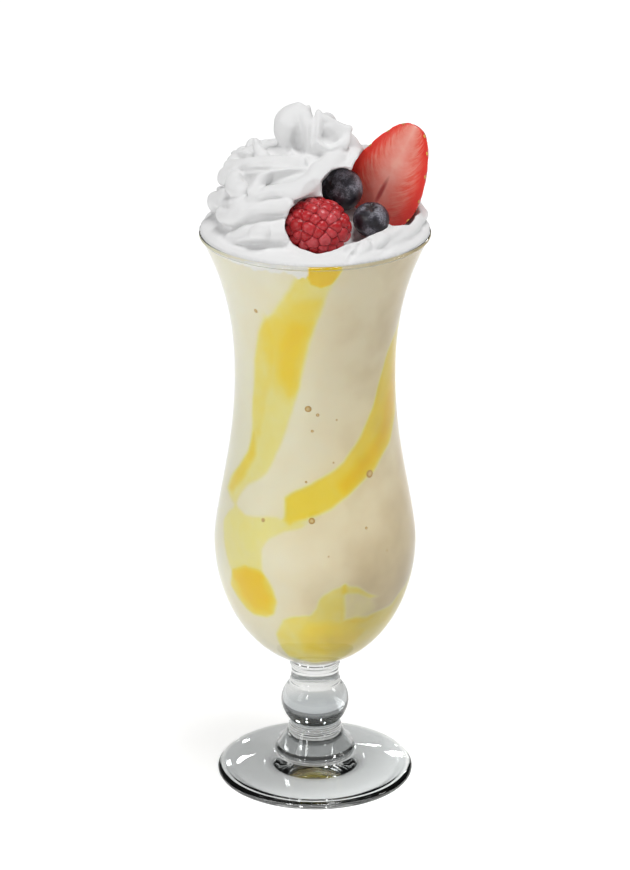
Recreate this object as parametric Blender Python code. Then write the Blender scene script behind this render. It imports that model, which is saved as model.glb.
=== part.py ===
"""Cheesecake milkshake with whipped cream and berries, in a tall footed glass.

The glass stands on z = 0 with its axis on the z axis, and the viewer's side is -y.
Lengths are in metres and angles in radians.
"""

import math

import bmesh
import bpy
from mathutils import Euler, Matrix, Vector

# Glass: outline of the bowl
GLASS_HEIGHT = 0.2070
RIM_RADIUS = 0.0405
WALL = 0.0022
LIP_RADIUS = WALL / 2
WAIST_RADIUS = 0.0284
WAIST_HEIGHT = 0.1550
FLARE_REACH = 0.0124
FLARE_POWER = 2.25
BELLY_RADIUS = 0.0361
BELLY_HEIGHT = 0.0920
BELLY_SHAPE = 0.75
BOWL_DEPTH_OUTSIDE = 0.0480
BOWL_DEPTH_INSIDE = 0.0432

# Glass: stem and foot
NECK_RADIUS = 0.0086
NECK_HEIGHT = 0.0400
BALL_RADIUS = 0.0122
BALL_HALF_HEIGHT = 0.0107
BALL_HEIGHT = 0.0280
STEM_TOP = 0.0205
STEM_RADIUS = 0.0088
STEM_FLARE_POWER = 1.6
COLLAR_RADIUS = 0.0146
COLLAR_ROUND = 0.00145
COLLAR_HEIGHT = 0.00905
FOOT_RADIUS = 0.0354
FOOT_EDGE = 0.0026
FOOT_RISE = 0.0050
FOOT_SLOPE_POWER = 1.3
FOOT_FLAT_INNER = 0.0290
FOOT_HOLLOW = 0.0020
GLASS_SEGMENTS = 40

# Milkshake, and the gap that every piece keeps to its neighbours
GAP = 0.00035
DRINK_TOP = 0.2060

# Whipped cream: a star-shaped rope wound into a cone, with a crown of fins
CREAM_BASE = DRINK_TOP + 0.0004
CREAM_TOP = 0.2540
CENTRE_BELOW = Vector((0.0003, 0.0010, 0.0))
CENTRE_ABOVE = Vector((-0.0012, 0.0030, 0.0))
# The rope's route, half a turn apart: turn, outer reach, height and half thickness
ROPE_ROUTE = (
    (-0.5, 0.0372, 0.2110, 0.0085),
    (0.0, 0.0382, 0.2114, 0.0088),
    (0.5, 0.0373, 0.2134, 0.0085),
    (1.0, 0.0350, 0.2203, 0.0084),
    (1.5, 0.0310, 0.2270, 0.0079),
    (2.0, 0.0230, 0.2300, 0.0068),
    (2.5, 0.0205, 0.2338, 0.0055),
)
ROPE_START = -0.5
ROPE_END = 2.6
ROPE_RIBS = 8
ROPE_TWIST = 1.45
RIB_DEPTH = 0.31
RIB_ROUNDNESS = 0.8
FIRST_END_TURNS = 0.12
LAST_END_TURNS = 0.10
ROPE_STATIONS = 210
ROPE_SIDES = 64
SKIRT_RADIUS = 0.0376
SKIRT_HEIGHT = 0.0048
CORE_LOW_RADIUS = 0.0345
CORE_TOP_RADIUS = 0.0090
CORE_TOP = 0.2370
CROWN_FLOOR = 0.2330
CROWN_HOLLOW = 0.2430
CROWN_WAIST = 0.0060
# Each fin: direction round the crown in degrees, reach, height of the tip, half width
CROWN_FINS = (
    (186, 0.0150, 0.2515, 0.50),
    (238, 0.0120, 0.2540, 0.32),
    (276, 0.0118, 0.2515, 0.28),
    (326, 0.0160, 0.2480, 0.36),
    (20, 0.0150, 0.2480, 0.36),
    (100, 0.0135, 0.2500, 0.44),
)
CROWN_TWIST = 0.5
CROWN_BULGE_START = 0.16
CROWN_BULGE_END = 0.76
CROWN_AROUND = 96
CROWN_ALONG = 16
CREAM_VOXEL = 0.0010
CREAM_TRIANGLES = 4050

# Berries, each pressed into the cream along the line that the viewer looks down
VIEW_PITCH = math.radians(21.5)
PRESS_LENGTH = 0.050
PRESS_GAP = GAP * 1.3
RASPBERRY_PLACE = Vector((0.0010, -0.0206, 0.2163))
RASPBERRY_SIZE = Vector((0.0112, 0.0092, 0.0098))
RASPBERRY_TURN = Euler((math.radians(139), math.radians(8), math.radians(4)))
DRUPELETS = 50
DRUPELET_HEIGHT = 0.0011
DRUPELET_WIDTH = 0.0021
DRUPELET_CUTS = 3
RASPBERRY_TAPER = 0.10
BLUEBERRY_UPPER_PLACE = Vector((0.0093, -0.0043, 0.2231))
BLUEBERRY_UPPER_RADIUS = 0.0077
BLUEBERRY_LOWER_PLACE = Vector((0.0193, -0.0140, 0.2155))
BLUEBERRY_LOWER_RADIUS = 0.0065
BLUEBERRY_FLATNESS = 0.94
STRAWBERRY_PLACE = Vector((0.0256, -0.0005, 0.2274))
STRAWBERRY_TURN = Euler((math.radians(-9), math.radians(21), math.radians(-20)))
STRAWBERRY_LENGTH = 0.0376
STRAWBERRY_WIDTH = 0.0290
STRAWBERRY_DEPTH = 0.0120
STRAWBERRY_TAPER = 0.36
STRAWBERRY_BLUNTNESS = 0.72
STRAWBERRY_ROWS = 14
STRAWBERRY_COLUMNS = 11


def clear_scene():
    """Removes every object that the scene starts with."""
    for obj in list(bpy.data.objects):
        bpy.data.objects.remove(obj, do_unlink=True)


def material(name, colour, roughness, transmission=0.0):
    """A Principled material with one colour, given as linear red, green and blue."""
    made = bpy.data.materials.new(name)
    made.use_nodes = True
    shader = made.node_tree.nodes["Principled BSDF"]
    shader.inputs["Base Color"].default_value = (*colour, 1.0)
    shader.inputs["Roughness"].default_value = roughness
    shader.inputs["Metallic"].default_value = 0.0
    shader.inputs["Transmission Weight"].default_value = transmission
    return made


def add_object(name, mesh, surface):
    """Links an object with this mesh and material, shaded smooth where it is round."""
    obj = bpy.data.objects.new(name, mesh)
    bpy.context.scene.collection.objects.link(obj)
    mesh.materials.append(surface)
    mesh.shade_smooth()
    mesh.set_sharp_from_angle(angle=math.radians(40))
    return obj


def mesh_from(name, points, faces):
    mesh = bpy.data.meshes.new(name)
    mesh.from_pydata(points, [], faces)
    mesh.update()
    return mesh


def turned(name, outline, surface):
    """A round solid from an outline of (radius, height), turned about the z axis.

    The outline starts on the axis at the upper side and runs outward and down.
    """
    points = [(radius, 0.0, height) for radius, height in outline]
    mesh = bpy.data.meshes.new(name)
    mesh.from_pydata(points, [(i, i + 1) for i in range(len(points) - 1)], [])
    obj = add_object(name, mesh, surface)
    screw = obj.modifiers.new("Turn", "SCREW")
    screw.axis = "Z"
    screw.steps = GLASS_SEGMENTS
    screw.render_steps = GLASS_SEGMENTS
    screw.use_merge_vertices = True
    screw.merge_threshold = 0.00001
    screw.use_smooth_shade = True
    return obj


def steps(start, end, count):
    """Count + 1 evenly spaced values from start to end."""
    return [start + (end - start) * i / count for i in range(count + 1)]


def arc(centre, radius, start, end, count):
    """Points (radius, height) on an arc, its angles measured from the outward direction."""
    return [
        (centre[0] + radius * math.cos(a), centre[1] + radius * math.sin(a))
        for a in steps(start, end, count)
    ]


def bowl_radius(height):
    """Outer radius of the bowl from its widest ring up to the rim."""
    if height >= WAIST_HEIGHT:
        rise = (height - WAIST_HEIGHT) / (GLASS_HEIGHT - WAIST_HEIGHT)
        return WAIST_RADIUS + FLARE_REACH * rise**FLARE_POWER
    rise = (height - BELLY_HEIGHT) / (WAIST_HEIGHT - BELLY_HEIGHT)
    swell = 0.5 + 0.5 * math.cos(math.pi * max(rise, 0.0) ** BELLY_SHAPE)
    return WAIST_RADIUS + (BELLY_RADIUS - WAIST_RADIUS) * swell


def wall_heights():
    """Heights of the rings between the lip and the widest ring, from the top down."""
    flare = steps(GLASS_HEIGHT - LIP_RADIUS, WAIST_HEIGHT, 5)
    belly = steps(WAIST_HEIGHT, BELLY_HEIGHT, 5)
    return flare[1:] + belly[1:]


def inner_wall(inset):
    """Inside of the bowl from the axis up to the lip, moved inward by inset."""
    outline = []
    for angle in steps(-math.pi / 2, 0.0, 7):
        radius = (BELLY_RADIUS - WALL - inset) * math.cos(angle)
        height = BELLY_HEIGHT + (BOWL_DEPTH_INSIDE - inset) * math.sin(angle)
        outline.append((max(radius, 0.0), height))
    for height in reversed(wall_heights()[:-1]):
        outline.append((bowl_radius(height) - WALL - inset, height))
    return outline


def stem_outline():
    """Outer side of the stem and foot, from the bowl down to the floor."""
    outline = [
        (NECK_RADIUS + 0.0004, NECK_HEIGHT + 0.0048),
        (NECK_RADIUS, NECK_HEIGHT),
        (NECK_RADIUS + 0.0003, NECK_HEIGHT - 0.0034),
    ]
    ball_cut = math.radians(43)
    for angle in steps(ball_cut, -ball_cut, 6):
        radius = BALL_RADIUS * math.cos(angle)
        outline.append((radius, BALL_HEIGHT + BALL_HALF_HEIGHT * math.sin(angle)))
    collar_top = COLLAR_HEIGHT + COLLAR_ROUND
    widening = COLLAR_RADIUS - STEM_RADIUS - COLLAR_ROUND / 2
    for fall in (0.12, 0.45, 0.75):
        radius = STEM_RADIUS + widening * fall**STEM_FLARE_POWER
        outline.append((radius, STEM_TOP + (collar_top - STEM_TOP) * fall))
    collar = (COLLAR_RADIUS - COLLAR_ROUND, COLLAR_HEIGHT)
    outline += arc(collar, COLLAR_ROUND, math.radians(70), math.radians(-70), 3)
    for way in (0.08, 0.4, 0.72):
        radius = COLLAR_RADIUS + (FOOT_RADIUS - COLLAR_RADIUS) * way
        rise = FOOT_RISE * (1 - way) ** FOOT_SLOPE_POWER
        outline.append((radius, FOOT_EDGE + rise))
    edge = (FOOT_RADIUS - FOOT_EDGE / 2, FOOT_EDGE / 2)
    outline += arc(edge, FOOT_EDGE / 2, math.radians(80), math.radians(-90), 4)
    return outline


def build_glass():
    """Footed glass: lip, flared and bellied bowl, ball stem, collar and hollow foot."""
    surface = material("clear_glass", (0.93, 0.95, 0.95), 0.02, transmission=1.0)
    outline = inner_wall(0.0)
    lip = (RIM_RADIUS - LIP_RADIUS, GLASS_HEIGHT - LIP_RADIUS)
    outline += arc(lip, LIP_RADIUS, math.pi, 0.0, 4)
    outline += [(bowl_radius(height), height) for height in wall_heights()]
    for angle in steps(0.0, math.radians(-74), 6)[1:]:
        radius = BELLY_RADIUS * math.cos(angle)
        height = BELLY_HEIGHT + BOWL_DEPTH_OUTSIDE * math.sin(angle)
        outline.append((radius, height))
    outline += stem_outline()
    outline += [(FOOT_FLAT_INNER, 0.0), (FOOT_FLAT_INNER * 0.6, FOOT_HOLLOW * 0.75)]
    outline.append((0.0, FOOT_HOLLOW))
    return turned("glass", outline, surface)


def build_milkshake():
    """The drink: it fills the bowl up to the lip, a gap inside the wall."""
    surface = material("ivory_milkshake", (0.74, 0.69, 0.54), 0.35)
    outline = [(radius, height) for radius, height in inner_wall(GAP)]
    top_radius = bowl_radius(DRINK_TOP) - WALL - GAP
    outline.append((top_radius, DRINK_TOP))
    outline += [(top_radius / 2, DRINK_TOP), (0.0, DRINK_TOP)]
    outline.reverse()
    return turned("milkshake", outline, surface)


def grid_faces(rows, columns):
    """Quads between neighbouring rows of points, each row closed to a ring."""
    faces = []
    for i in range(rows - 1):
        for j in range(columns):
            here, there = i * columns, (i + 1) * columns
            k = (j + 1) % columns
            faces.append((here + j, here + k, there + k, there + j))
    return faces


def cream_centre(height):
    """Axis of the cone of cream, which leans a little from the drink to the crown."""
    rise = (height - CREAM_BASE) / (CREAM_TOP - CREAM_BASE)
    return CENTRE_BELOW.lerp(CENTRE_ABOVE, rise)


def along_route(turn):
    """Reach, height and half thickness of the rope after so many turns.

    A Catmull-Rom curve runs through the stations of the route.
    """
    spacing = ROPE_ROUTE[1][0] - ROPE_ROUTE[0][0]
    last = len(ROPE_ROUTE) - 1
    way = (turn - ROPE_START) / spacing
    i = min(int(way), last - 1)
    u = way - i
    before, here, there, after = (
        ROPE_ROUTE[min(max(k, 0), last)] for k in (i - 1, i, i + 1, i + 2)
    )
    return [
        b + u * (c - a + u * (2 * a - 5 * b + 4 * c - d + u * (3 * (b - c) + d - a))) / 2
        for a, b, c, d in list(zip(before, here, there, after))[1:]
    ]


def rope_point(turn, side):
    """A point on the rope, after so many turns and at the angle side round its section.

    Side 0 faces away from the cone's axis and a quarter turn faces up. The section is a
    star of round ribs with narrow grooves, which twist as the rope winds on.
    """
    reach, height, thickness = along_route(turn)
    phase = ROPE_RIBS * (side / 2 - math.pi * ROPE_TWIST * turn)
    rib = abs(math.sin(phase)) ** RIB_ROUNDNESS
    from_start = (turn - ROPE_START) / FIRST_END_TURNS
    to_end = (ROPE_END - turn) / LAST_END_TURNS
    ending = math.sqrt(min(max(min(from_start, to_end), 0.0), 1.0))
    radius = thickness * (1 - RIB_DEPTH * (1 - rib)) * ending
    out = reach - thickness + radius * math.cos(side)
    up = max(height + radius * math.sin(side), CREAM_BASE)
    angle = 2 * math.pi * turn
    point = Vector((out * math.cos(angle), out * math.sin(angle), up))
    return point + cream_centre(up)


def rope_mesh():
    """The wound rope as one tube, closed at both ends."""
    points = []
    for turn in steps(ROPE_START, ROPE_END, ROPE_STATIONS - 1):
        for j in range(ROPE_SIDES):
            points.append(rope_point(turn, -2 * math.pi * j / ROPE_SIDES))
    faces = grid_faces(ROPE_STATIONS, ROPE_SIDES)
    faces.append(tuple(reversed(range(ROPE_SIDES))))
    first = (ROPE_STATIONS - 1) * ROPE_SIDES
    faces.append(tuple(range(first, first + ROPE_SIDES)))
    return mesh_from("rope", points, faces)


def fin_share(angle):
    """(reach, tip height) of the crown in this direction: fins with hollows between."""
    reach, tip = CROWN_WAIST, CROWN_HOLLOW
    for degrees, fin_reach, fin_tip, half_width in CROWN_FINS:
        away = math.radians(degrees) - angle
        away = math.atan2(math.sin(away), math.cos(away))
        share = math.exp(-((abs(away) / half_width) ** 1.8))
        reach = max(reach, CROWN_WAIST + (fin_reach - CROWN_WAIST) * share)
        tip = max(tip, CROWN_HOLLOW + (fin_tip - CROWN_HOLLOW) * share**0.7)
    return reach, tip


def crown_mesh():
    """The crown: up the outside of the fins, over their tips and down into the middle."""
    lip = 0.7
    points = []
    for i in range(CROWN_ALONG + 1):
        way = i / CROWN_ALONG
        rise = min(way / lip, 1.0)
        inward = max((way - lip) / (1 - lip), 0.0)
        bulge = CROWN_BULGE_START + (CROWN_BULGE_END - CROWN_BULGE_START) * rise
        for j in range(CROWN_AROUND):
            angle = 2 * math.pi * j / CROWN_AROUND
            reach, tip = fin_share(angle)
            radius = reach * math.sin(math.pi * bulge) ** 0.8 * (1 - inward)
            height = CROWN_FLOOR + (tip - CROWN_FLOOR) * rise
            height += (CROWN_HOLLOW - tip) * inward**0.6
            turn = angle + CROWN_TWIST * (height - CROWN_FLOOR) / (tip - CROWN_FLOOR)
            point = Vector((radius * math.cos(turn), radius * math.sin(turn), height))
            points.append(point + cream_centre(height))
    faces = grid_faces(CROWN_ALONG + 1, CROWN_AROUND)
    faces.append(tuple(reversed(range(CROWN_AROUND))))
    return mesh_from("crown", points, faces)


def core_mesh():
    """A plain cone inside the rope, and the skirt of cream that meets the glass."""
    outline = [
        (0.0, CREAM_BASE),
        (SKIRT_RADIUS, CREAM_BASE),
        (SKIRT_RADIUS, CREAM_BASE + SKIRT_HEIGHT * 0.3),
        (SKIRT_RADIUS - 0.0010, CREAM_BASE + SKIRT_HEIGHT * 0.7),
        (CORE_LOW_RADIUS, CREAM_BASE + SKIRT_HEIGHT),
        (CORE_TOP_RADIUS, CORE_TOP),
        (0.0, CORE_TOP),
    ]
    around = 64
    points = []
    for radius, height in outline:
        for angle in steps(0.0, 2 * math.pi, around)[:-1]:
            points.append((radius * math.cos(angle), radius * math.sin(angle), height))
    return mesh_from("core", points, grid_faces(len(outline), around))


def keep_largest_body(shape):
    """Deletes every loose body of a mesh but the one with the most points."""
    bodies, seen = [], set()
    for start in shape.verts:
        if start in seen:
            continue
        body, frontier = {start}, [start]
        while frontier:
            here = frontier.pop()
            linked = {edge.other_vert(here) for edge in here.link_edges} - body
            body |= linked
            frontier += linked
        seen |= body
        bodies.append(body)
    for body in sorted(bodies, key=len)[:-1]:
        bmesh.ops.delete(shape, geom=list(body), context="VERTS")


def with_modifier(mesh, kind, settings):
    """The mesh that this one becomes when a modifier of this kind is applied."""
    draft = bpy.data.objects.new("draft", mesh)
    bpy.context.scene.collection.objects.link(draft)
    modifier = draft.modifiers.new("Draft", kind)
    for setting, value in settings.items():
        setattr(modifier, setting, value)
    graph = bpy.context.evaluated_depsgraph_get()
    made = bpy.data.meshes.new_from_object(draft.evaluated_get(graph))
    bpy.data.objects.remove(draft, do_unlink=True)
    bpy.data.meshes.remove(mesh)
    return made


def fused_cream():
    """Rope, core and crown fused to one closed body with a flat underside."""
    shape = bmesh.new()
    for mesh in (rope_mesh(), core_mesh(), crown_mesh()):
        shape.from_mesh(mesh)
        bpy.data.meshes.remove(mesh)
    joined = bpy.data.meshes.new("joined")
    shape.to_mesh(joined)
    shape.free()
    fused = with_modifier(
        joined, "REMESH", {"mode": "VOXEL", "voxel_size": CREAM_VOXEL}
    )
    shape = bmesh.new()
    shape.from_mesh(fused)
    keep_largest_body(shape)
    bmesh.ops.triangulate(shape, faces=shape.faces[:])
    for vert in shape.verts:
        vert.co.z = max(vert.co.z, CREAM_BASE)
    share = CREAM_TRIANGLES / len(shape.faces)
    shape.to_mesh(fused)
    shape.free()
    return with_modifier(fused, "DECIMATE", {"ratio": share})


def build_cream(presses):
    """The whipped cream as one body, with a hollow where each berry lies."""
    surface = material("whipped_cream", (0.90, 0.90, 0.89), 0.55)
    cream = add_object("whipped_cream", fused_cream(), surface)
    for press in presses:
        cut = cream.modifiers.new("Hollow for " + press.name, "BOOLEAN")
        cut.operation = "DIFFERENCE"
        cut.solver = "EXACT"
        cut.object = press
    return cream


def raspberry_form(direction):
    """Distance from the berry's middle to its skin, without drupelets. +z is the tip."""
    size = RASPBERRY_SIZE
    stretched = Vector(
        (direction.x / size.x, direction.y / size.y, direction.z / size.z)
    )
    taper = 1 - RASPBERRY_TAPER * max(direction.z, 0.0)
    return taper / stretched.length


def drupelet_directions():
    """Evenly spread directions, by the golden angle."""
    golden = math.pi * (3 - math.sqrt(5))
    directions = []
    for i in range(DRUPELETS):
        z = 1 - (2 * i + 1) / DRUPELETS
        flat = math.sqrt(1 - z * z)
        directions.append(
            Vector((flat * math.cos(golden * i), flat * math.sin(golden * i), z))
        )
    return directions


def build_raspberry():
    """A raspberry: a blunt cone covered in round drupelets, tip down to the viewer."""
    surface = material("raspberry_red", (0.36, 0.02, 0.035), 0.35)
    directions = drupelet_directions()
    centres = [d * raspberry_form(d) for d in directions]
    shape = bmesh.new()
    for centre in centres:
        shape.verts.new(centre)
    bmesh.ops.convex_hull(shape, input=shape.verts[:])
    bmesh.ops.subdivide_edges(
        shape, edges=shape.edges[:], cuts=DRUPELET_CUTS, use_grid_fill=True
    )
    for vert in shape.verts:
        direction = vert.co.normalized()
        skin = direction * raspberry_form(direction)
        away = min((skin - centre).length for centre in centres)
        bump = math.sqrt(max(1 - (away / DRUPELET_WIDTH) ** 2, 0.0))
        vert.co = skin + direction * DRUPELET_HEIGHT * bump
    bmesh.ops.triangulate(shape, faces=shape.faces[:])
    bmesh.ops.recalc_face_normals(shape, faces=shape.faces[:])
    mesh = bpy.data.meshes.new("raspberry")
    shape.to_mesh(mesh)
    shape.free()
    obj = add_object("raspberry", mesh, surface)
    obj.location = RASPBERRY_PLACE
    obj.rotation_euler = RASPBERRY_TURN
    return obj


def build_blueberry(name, place, radius):
    """A blueberry, a little flattened."""
    surface = material(name + "_skin", (0.012, 0.013, 0.028), 0.5)
    shape = bmesh.new()
    bmesh.ops.create_uvsphere(shape, u_segments=18, v_segments=9, radius=radius)
    bmesh.ops.scale(shape, vec=(1.0, 1.0, BLUEBERRY_FLATNESS), verts=shape.verts[:])
    mesh = bpy.data.meshes.new(name)
    shape.to_mesh(mesh)
    shape.free()
    obj = add_object(name, mesh, surface)
    obj.location = place
    return obj


def build_strawberry():
    """Half a strawberry: its cut face at local y = 0, its tip at the top."""
    surface = material("strawberry_red", (0.62, 0.035, 0.03), 0.35)
    shape = bmesh.new()
    rows = []
    for angle in steps(0.0, math.pi, STRAWBERRY_ROWS)[1:-1]:
        swell = math.sin(angle) ** STRAWBERRY_BLUNTNESS
        swell *= 1 + STRAWBERRY_TAPER * math.cos(angle)
        height = -STRAWBERRY_LENGTH / 2 * math.cos(angle)
        row = []
        for turn in steps(0.0, math.pi, STRAWBERRY_COLUMNS - 1):
            across = STRAWBERRY_WIDTH / 2 * swell * math.cos(turn)
            back = STRAWBERRY_DEPTH * swell * math.sin(turn)
            row.append(shape.verts.new((across, back, height)))
        rows.append(row)
    for low, high in zip(rows, rows[1:]):
        ring = list(zip(low + low[:1], high + high[:1]))
        for (a, b), (c, d) in zip(ring, ring[1:]):
            shape.faces.new((a, b, d, c))
    ends = ((rows[0], -STRAWBERRY_LENGTH / 2), (rows[-1], STRAWBERRY_LENGTH / 2))
    for row, height in ends:
        pole = shape.verts.new((0.0, 0.0, height))
        for a, b in zip(row, row[1:] + row[:1]):
            shape.faces.new((a, b, pole))
    bmesh.ops.recalc_face_normals(shape, faces=shape.faces[:])
    mesh = bpy.data.meshes.new("strawberry_half")
    shape.to_mesh(mesh)
    shape.free()
    obj = add_object("strawberry_half", mesh, surface)
    obj.location = STRAWBERRY_PLACE
    obj.rotation_euler = STRAWBERRY_TURN
    return obj


def press_shape(berry, surface):
    """The way that a berry took into the cream, grown by the gap, for cutting."""
    toward_viewer = Vector((0.0, -math.cos(VIEW_PITCH), math.sin(VIEW_PITCH)))
    place = Matrix.LocRotScale(berry.location, berry.rotation_euler, None)
    skin = [place @ vert.co for vert in berry.data.vertices]
    middle = sum(skin, Vector()) / len(skin)
    shape = bmesh.new()
    for point in skin:
        grown = point + (point - middle).normalized() * PRESS_GAP
        shape.verts.new(grown)
        shape.verts.new(grown + toward_viewer * PRESS_LENGTH)
    bmesh.ops.convex_hull(shape, input=shape.verts[:])
    inside = [vert for vert in shape.verts if not vert.link_faces]
    bmesh.ops.delete(shape, geom=inside, context="VERTS")
    bmesh.ops.recalc_face_normals(shape, faces=shape.faces[:])
    mesh = bpy.data.meshes.new(berry.name + "_press")
    shape.to_mesh(mesh)
    shape.free()
    press = add_object(berry.name + "_press", mesh, surface)
    press.hide_render = True
    press.display_type = "WIRE"
    return press


def main():
    clear_scene()
    build_glass()
    build_milkshake()
    berries = [
        build_raspberry(),
        build_blueberry(
            "blueberry_upper", BLUEBERRY_UPPER_PLACE, BLUEBERRY_UPPER_RADIUS
        ),
        build_blueberry(
            "blueberry_lower", BLUEBERRY_LOWER_PLACE, BLUEBERRY_LOWER_RADIUS
        ),
        build_strawberry(),
    ]
    guide = material("press_guide", (0.5, 0.5, 0.5), 0.5)
    build_cream([press_shape(berry, guide) for berry in berries])


main()
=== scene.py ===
"""Looks of the cheesecake milkshake: footed glass, streaked drink, piped cream and berries.

Lengths are in metres. The glass stands on z = 0 with its axis on the z axis, and the
viewer's side is -y. Angles round the glass are counted from the front, +x being 90.
"""

import math

import bmesh
import bpy
import numpy as np
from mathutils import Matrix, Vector


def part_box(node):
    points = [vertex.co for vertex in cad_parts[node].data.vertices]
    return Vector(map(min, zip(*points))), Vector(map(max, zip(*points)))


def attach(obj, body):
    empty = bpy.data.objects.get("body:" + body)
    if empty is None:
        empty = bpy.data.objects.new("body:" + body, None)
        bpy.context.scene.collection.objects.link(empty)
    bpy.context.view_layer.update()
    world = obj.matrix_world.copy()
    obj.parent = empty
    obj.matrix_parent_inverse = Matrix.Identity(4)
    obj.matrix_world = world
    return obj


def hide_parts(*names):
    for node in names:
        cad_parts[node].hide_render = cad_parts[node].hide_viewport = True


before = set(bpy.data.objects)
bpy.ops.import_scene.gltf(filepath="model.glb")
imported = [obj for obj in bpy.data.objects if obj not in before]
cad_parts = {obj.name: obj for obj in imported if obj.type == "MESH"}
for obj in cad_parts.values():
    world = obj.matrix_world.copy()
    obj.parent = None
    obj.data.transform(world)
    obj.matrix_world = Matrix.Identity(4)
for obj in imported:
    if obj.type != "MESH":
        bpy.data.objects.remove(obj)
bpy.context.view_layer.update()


# Footed glass: one piece of clear glass, blown and pressed, with a flared and bellied
# bowl, a ball in the stem, a collar and a flat hollow foot. Its edges are fire polished,
# so the outline is smoothed a little before it is turned.
glass_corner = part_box("glass")[1]
glass_height = glass_corner.z
rim_radius = glass_corner.x
wall = 0.0022
lip_radius = wall / 2
waist_radius = 0.0284
waist_height = 0.1550
flare_power = 2.25
belly_radius = 0.0361
belly_height = 0.0920
belly_shape = 0.75
bowl_depth_outside = 0.0480
bowl_depth_inside = 0.0432
bowl_joins_stem = math.radians(-74)
neck_radius = 0.0086
neck_height = 0.0400
ball_radius = 0.0122
ball_half_height = 0.0107
ball_height = 0.0280
ball_cut = math.radians(43)
stem_top = 0.0205
stem_radius = 0.0088
stem_flare_power = 1.6
collar_radius = 0.0146
collar_round = 0.00145
collar_height = 0.00905
foot_radius = 0.0354
foot_edge = 0.0026
foot_rise = 0.0050
foot_slope_power = 1.3
foot_flat_inner = 0.0290
foot_hollow = 0.0020
# Fine tooling rings on the stem: height, how far they stand out, half width
tooling_rings = (
    (0.0447, 0.00035, 0.00060),
    (0.0425, 0.00045, 0.00050),
    (0.0362, 0.00040, 0.00055),
    (0.0184, 0.00025, 0.00050),
)
# Rings on the top of the foot near its edge: distance out, how far they rise, half width
foot_rings = ((0.0339, 0.00016, 0.00035), (0.0329, -0.00010, 0.00035), (0.0305, 0.00005, 0.0012))
stem_limit = 0.0130
foot_rings_from = 0.0280
glass_around = 176
glass_spacing = 0.00032
glass_smoothing = 0.00030
# The smooth wall and the foot's underside keep one row of points in so many
plain_rows = 6
plain_wall_from = 0.0505
plain_wall_below_rim = 0.0040
# The tint of thick glass: where it ends, how softly, and its share in the stem
tint_top = 0.0465
tint_fade = 0.0020
stem_tint = 0.55
# Painted reflection: a dark grey band in the glass at the bottom of the ball, standing for dark
# surroundings seen there; its height and half height
painted_band_height = 0.0214
painted_band_half = 0.0016


def bowl_radius(height):
    """Outer radius of the bowl: a power curve above the waist, half a cosine wave below."""
    flare = np.clip((height - waist_height) / (glass_height - waist_height), 0, 1)
    drop = np.clip((height - belly_height) / (waist_height - belly_height), 0, 1)
    swell = 0.5 + 0.5 * np.cos(np.pi * drop**belly_shape)
    below = waist_radius + (belly_radius - waist_radius) * swell
    above = waist_radius + (rim_radius - waist_radius) * flare**flare_power
    return np.where(height > waist_height, above, below)


def arc(centre, radii, start, end, count):
    """Points (radius, height) on an ellipse's arc, its angles counted from outward."""
    angle = np.linspace(start, end, count)
    return np.stack(
        [centre[0] + radii[0] * np.cos(angle), centre[1] + radii[1] * np.sin(angle)], 1
    )


def evened(outline, spacing, smoothing):
    """The same outline with evenly spaced points, each averaged with its neighbours.

    The weights are a bell curve of the given width along the outline. The two ends stay.
    """
    step = np.linalg.norm(np.diff(outline, axis=0), axis=1)
    length = np.concatenate([[0], np.cumsum(step)])
    count = int(length[-1] / spacing)
    at = np.linspace(0, length[-1], count)
    even = np.stack([np.interp(at, length, outline[:, k]) for k in (0, 1)], 1)
    reach = int(3 * smoothing / spacing) + 1
    weights = np.exp(-0.5 * (np.arange(-reach, reach + 1) * spacing / smoothing) ** 2)
    weights /= weights.sum()
    padded = np.pad(even, ((reach, reach), (0, 0)), mode="edge")
    smooth = np.stack([np.convolve(padded[:, k], weights, "valid") for k in (0, 1)], 1)
    smooth[0], smooth[-1] = outline[0], outline[-1]
    return smooth


def carried_round(outline, around):
    """Rings of points: each (radius, height) of the outline carried once round the z axis."""
    turn = np.arange(around) * (2 * np.pi / around)
    radius, height = outline[:, :1], outline[:, 1:]
    flat = np.ones(around)
    return np.stack([radius * np.cos(turn), radius * np.sin(turn), height * flat], 2)


def ring_mesh(name, rings, first_end, last_end):
    """A closed surface: quads between neighbouring rings, a fan of triangles at each end.

    Rings have the shape (rows, columns, 3). The rows run up the outside of the piece and
    the columns counterclockwise seen from above, which turns every face outwards.
    """
    rows, columns = rings.shape[:2]
    here = np.arange(rows * columns).reshape(rows, columns)
    beside = np.roll(here, -1, axis=1)
    quads = np.stack([here[:-1], beside[:-1], beside[1:], here[1:]], 2).reshape(-1, 4)
    first = np.full(columns, rows * columns)
    below = np.stack([first, beside[0], here[0]], 1)
    above = np.stack([here[-1], beside[-1], first + 1], 1)
    points = np.vstack([rings.reshape(-1, 3), first_end, last_end])
    mesh = bpy.data.meshes.new(name)
    faces = quads.tolist() + below.tolist() + above.tolist()
    mesh.from_pydata(points.tolist(), [], faces)
    mesh.shade_smooth()
    return mesh


def piece(name, mesh, material):
    """An object for a finished mesh, with its material, on the one body of the part."""
    made = bpy.data.objects.new(name, mesh)
    bpy.context.scene.collection.objects.link(made)
    mesh.materials.append(material)
    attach(made, "root")
    return made


def linear(code):
    """Linear red, green and blue, and full alpha, of a colour written as six hex digits."""
    share = np.array([int(code[k : k + 2], 16) for k in (0, 2, 4)]) / 255
    curve = np.where(share > 0.04045, ((share + 0.055) / 1.055) ** 2.4, share / 12.92)
    return (*curve.tolist(), 1.0)


def new_tree(name):
    """A material with an empty node tree."""
    material = bpy.data.materials.new(name)
    material.use_nodes = True
    material.node_tree.nodes.clear()
    return material, material.node_tree


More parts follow.
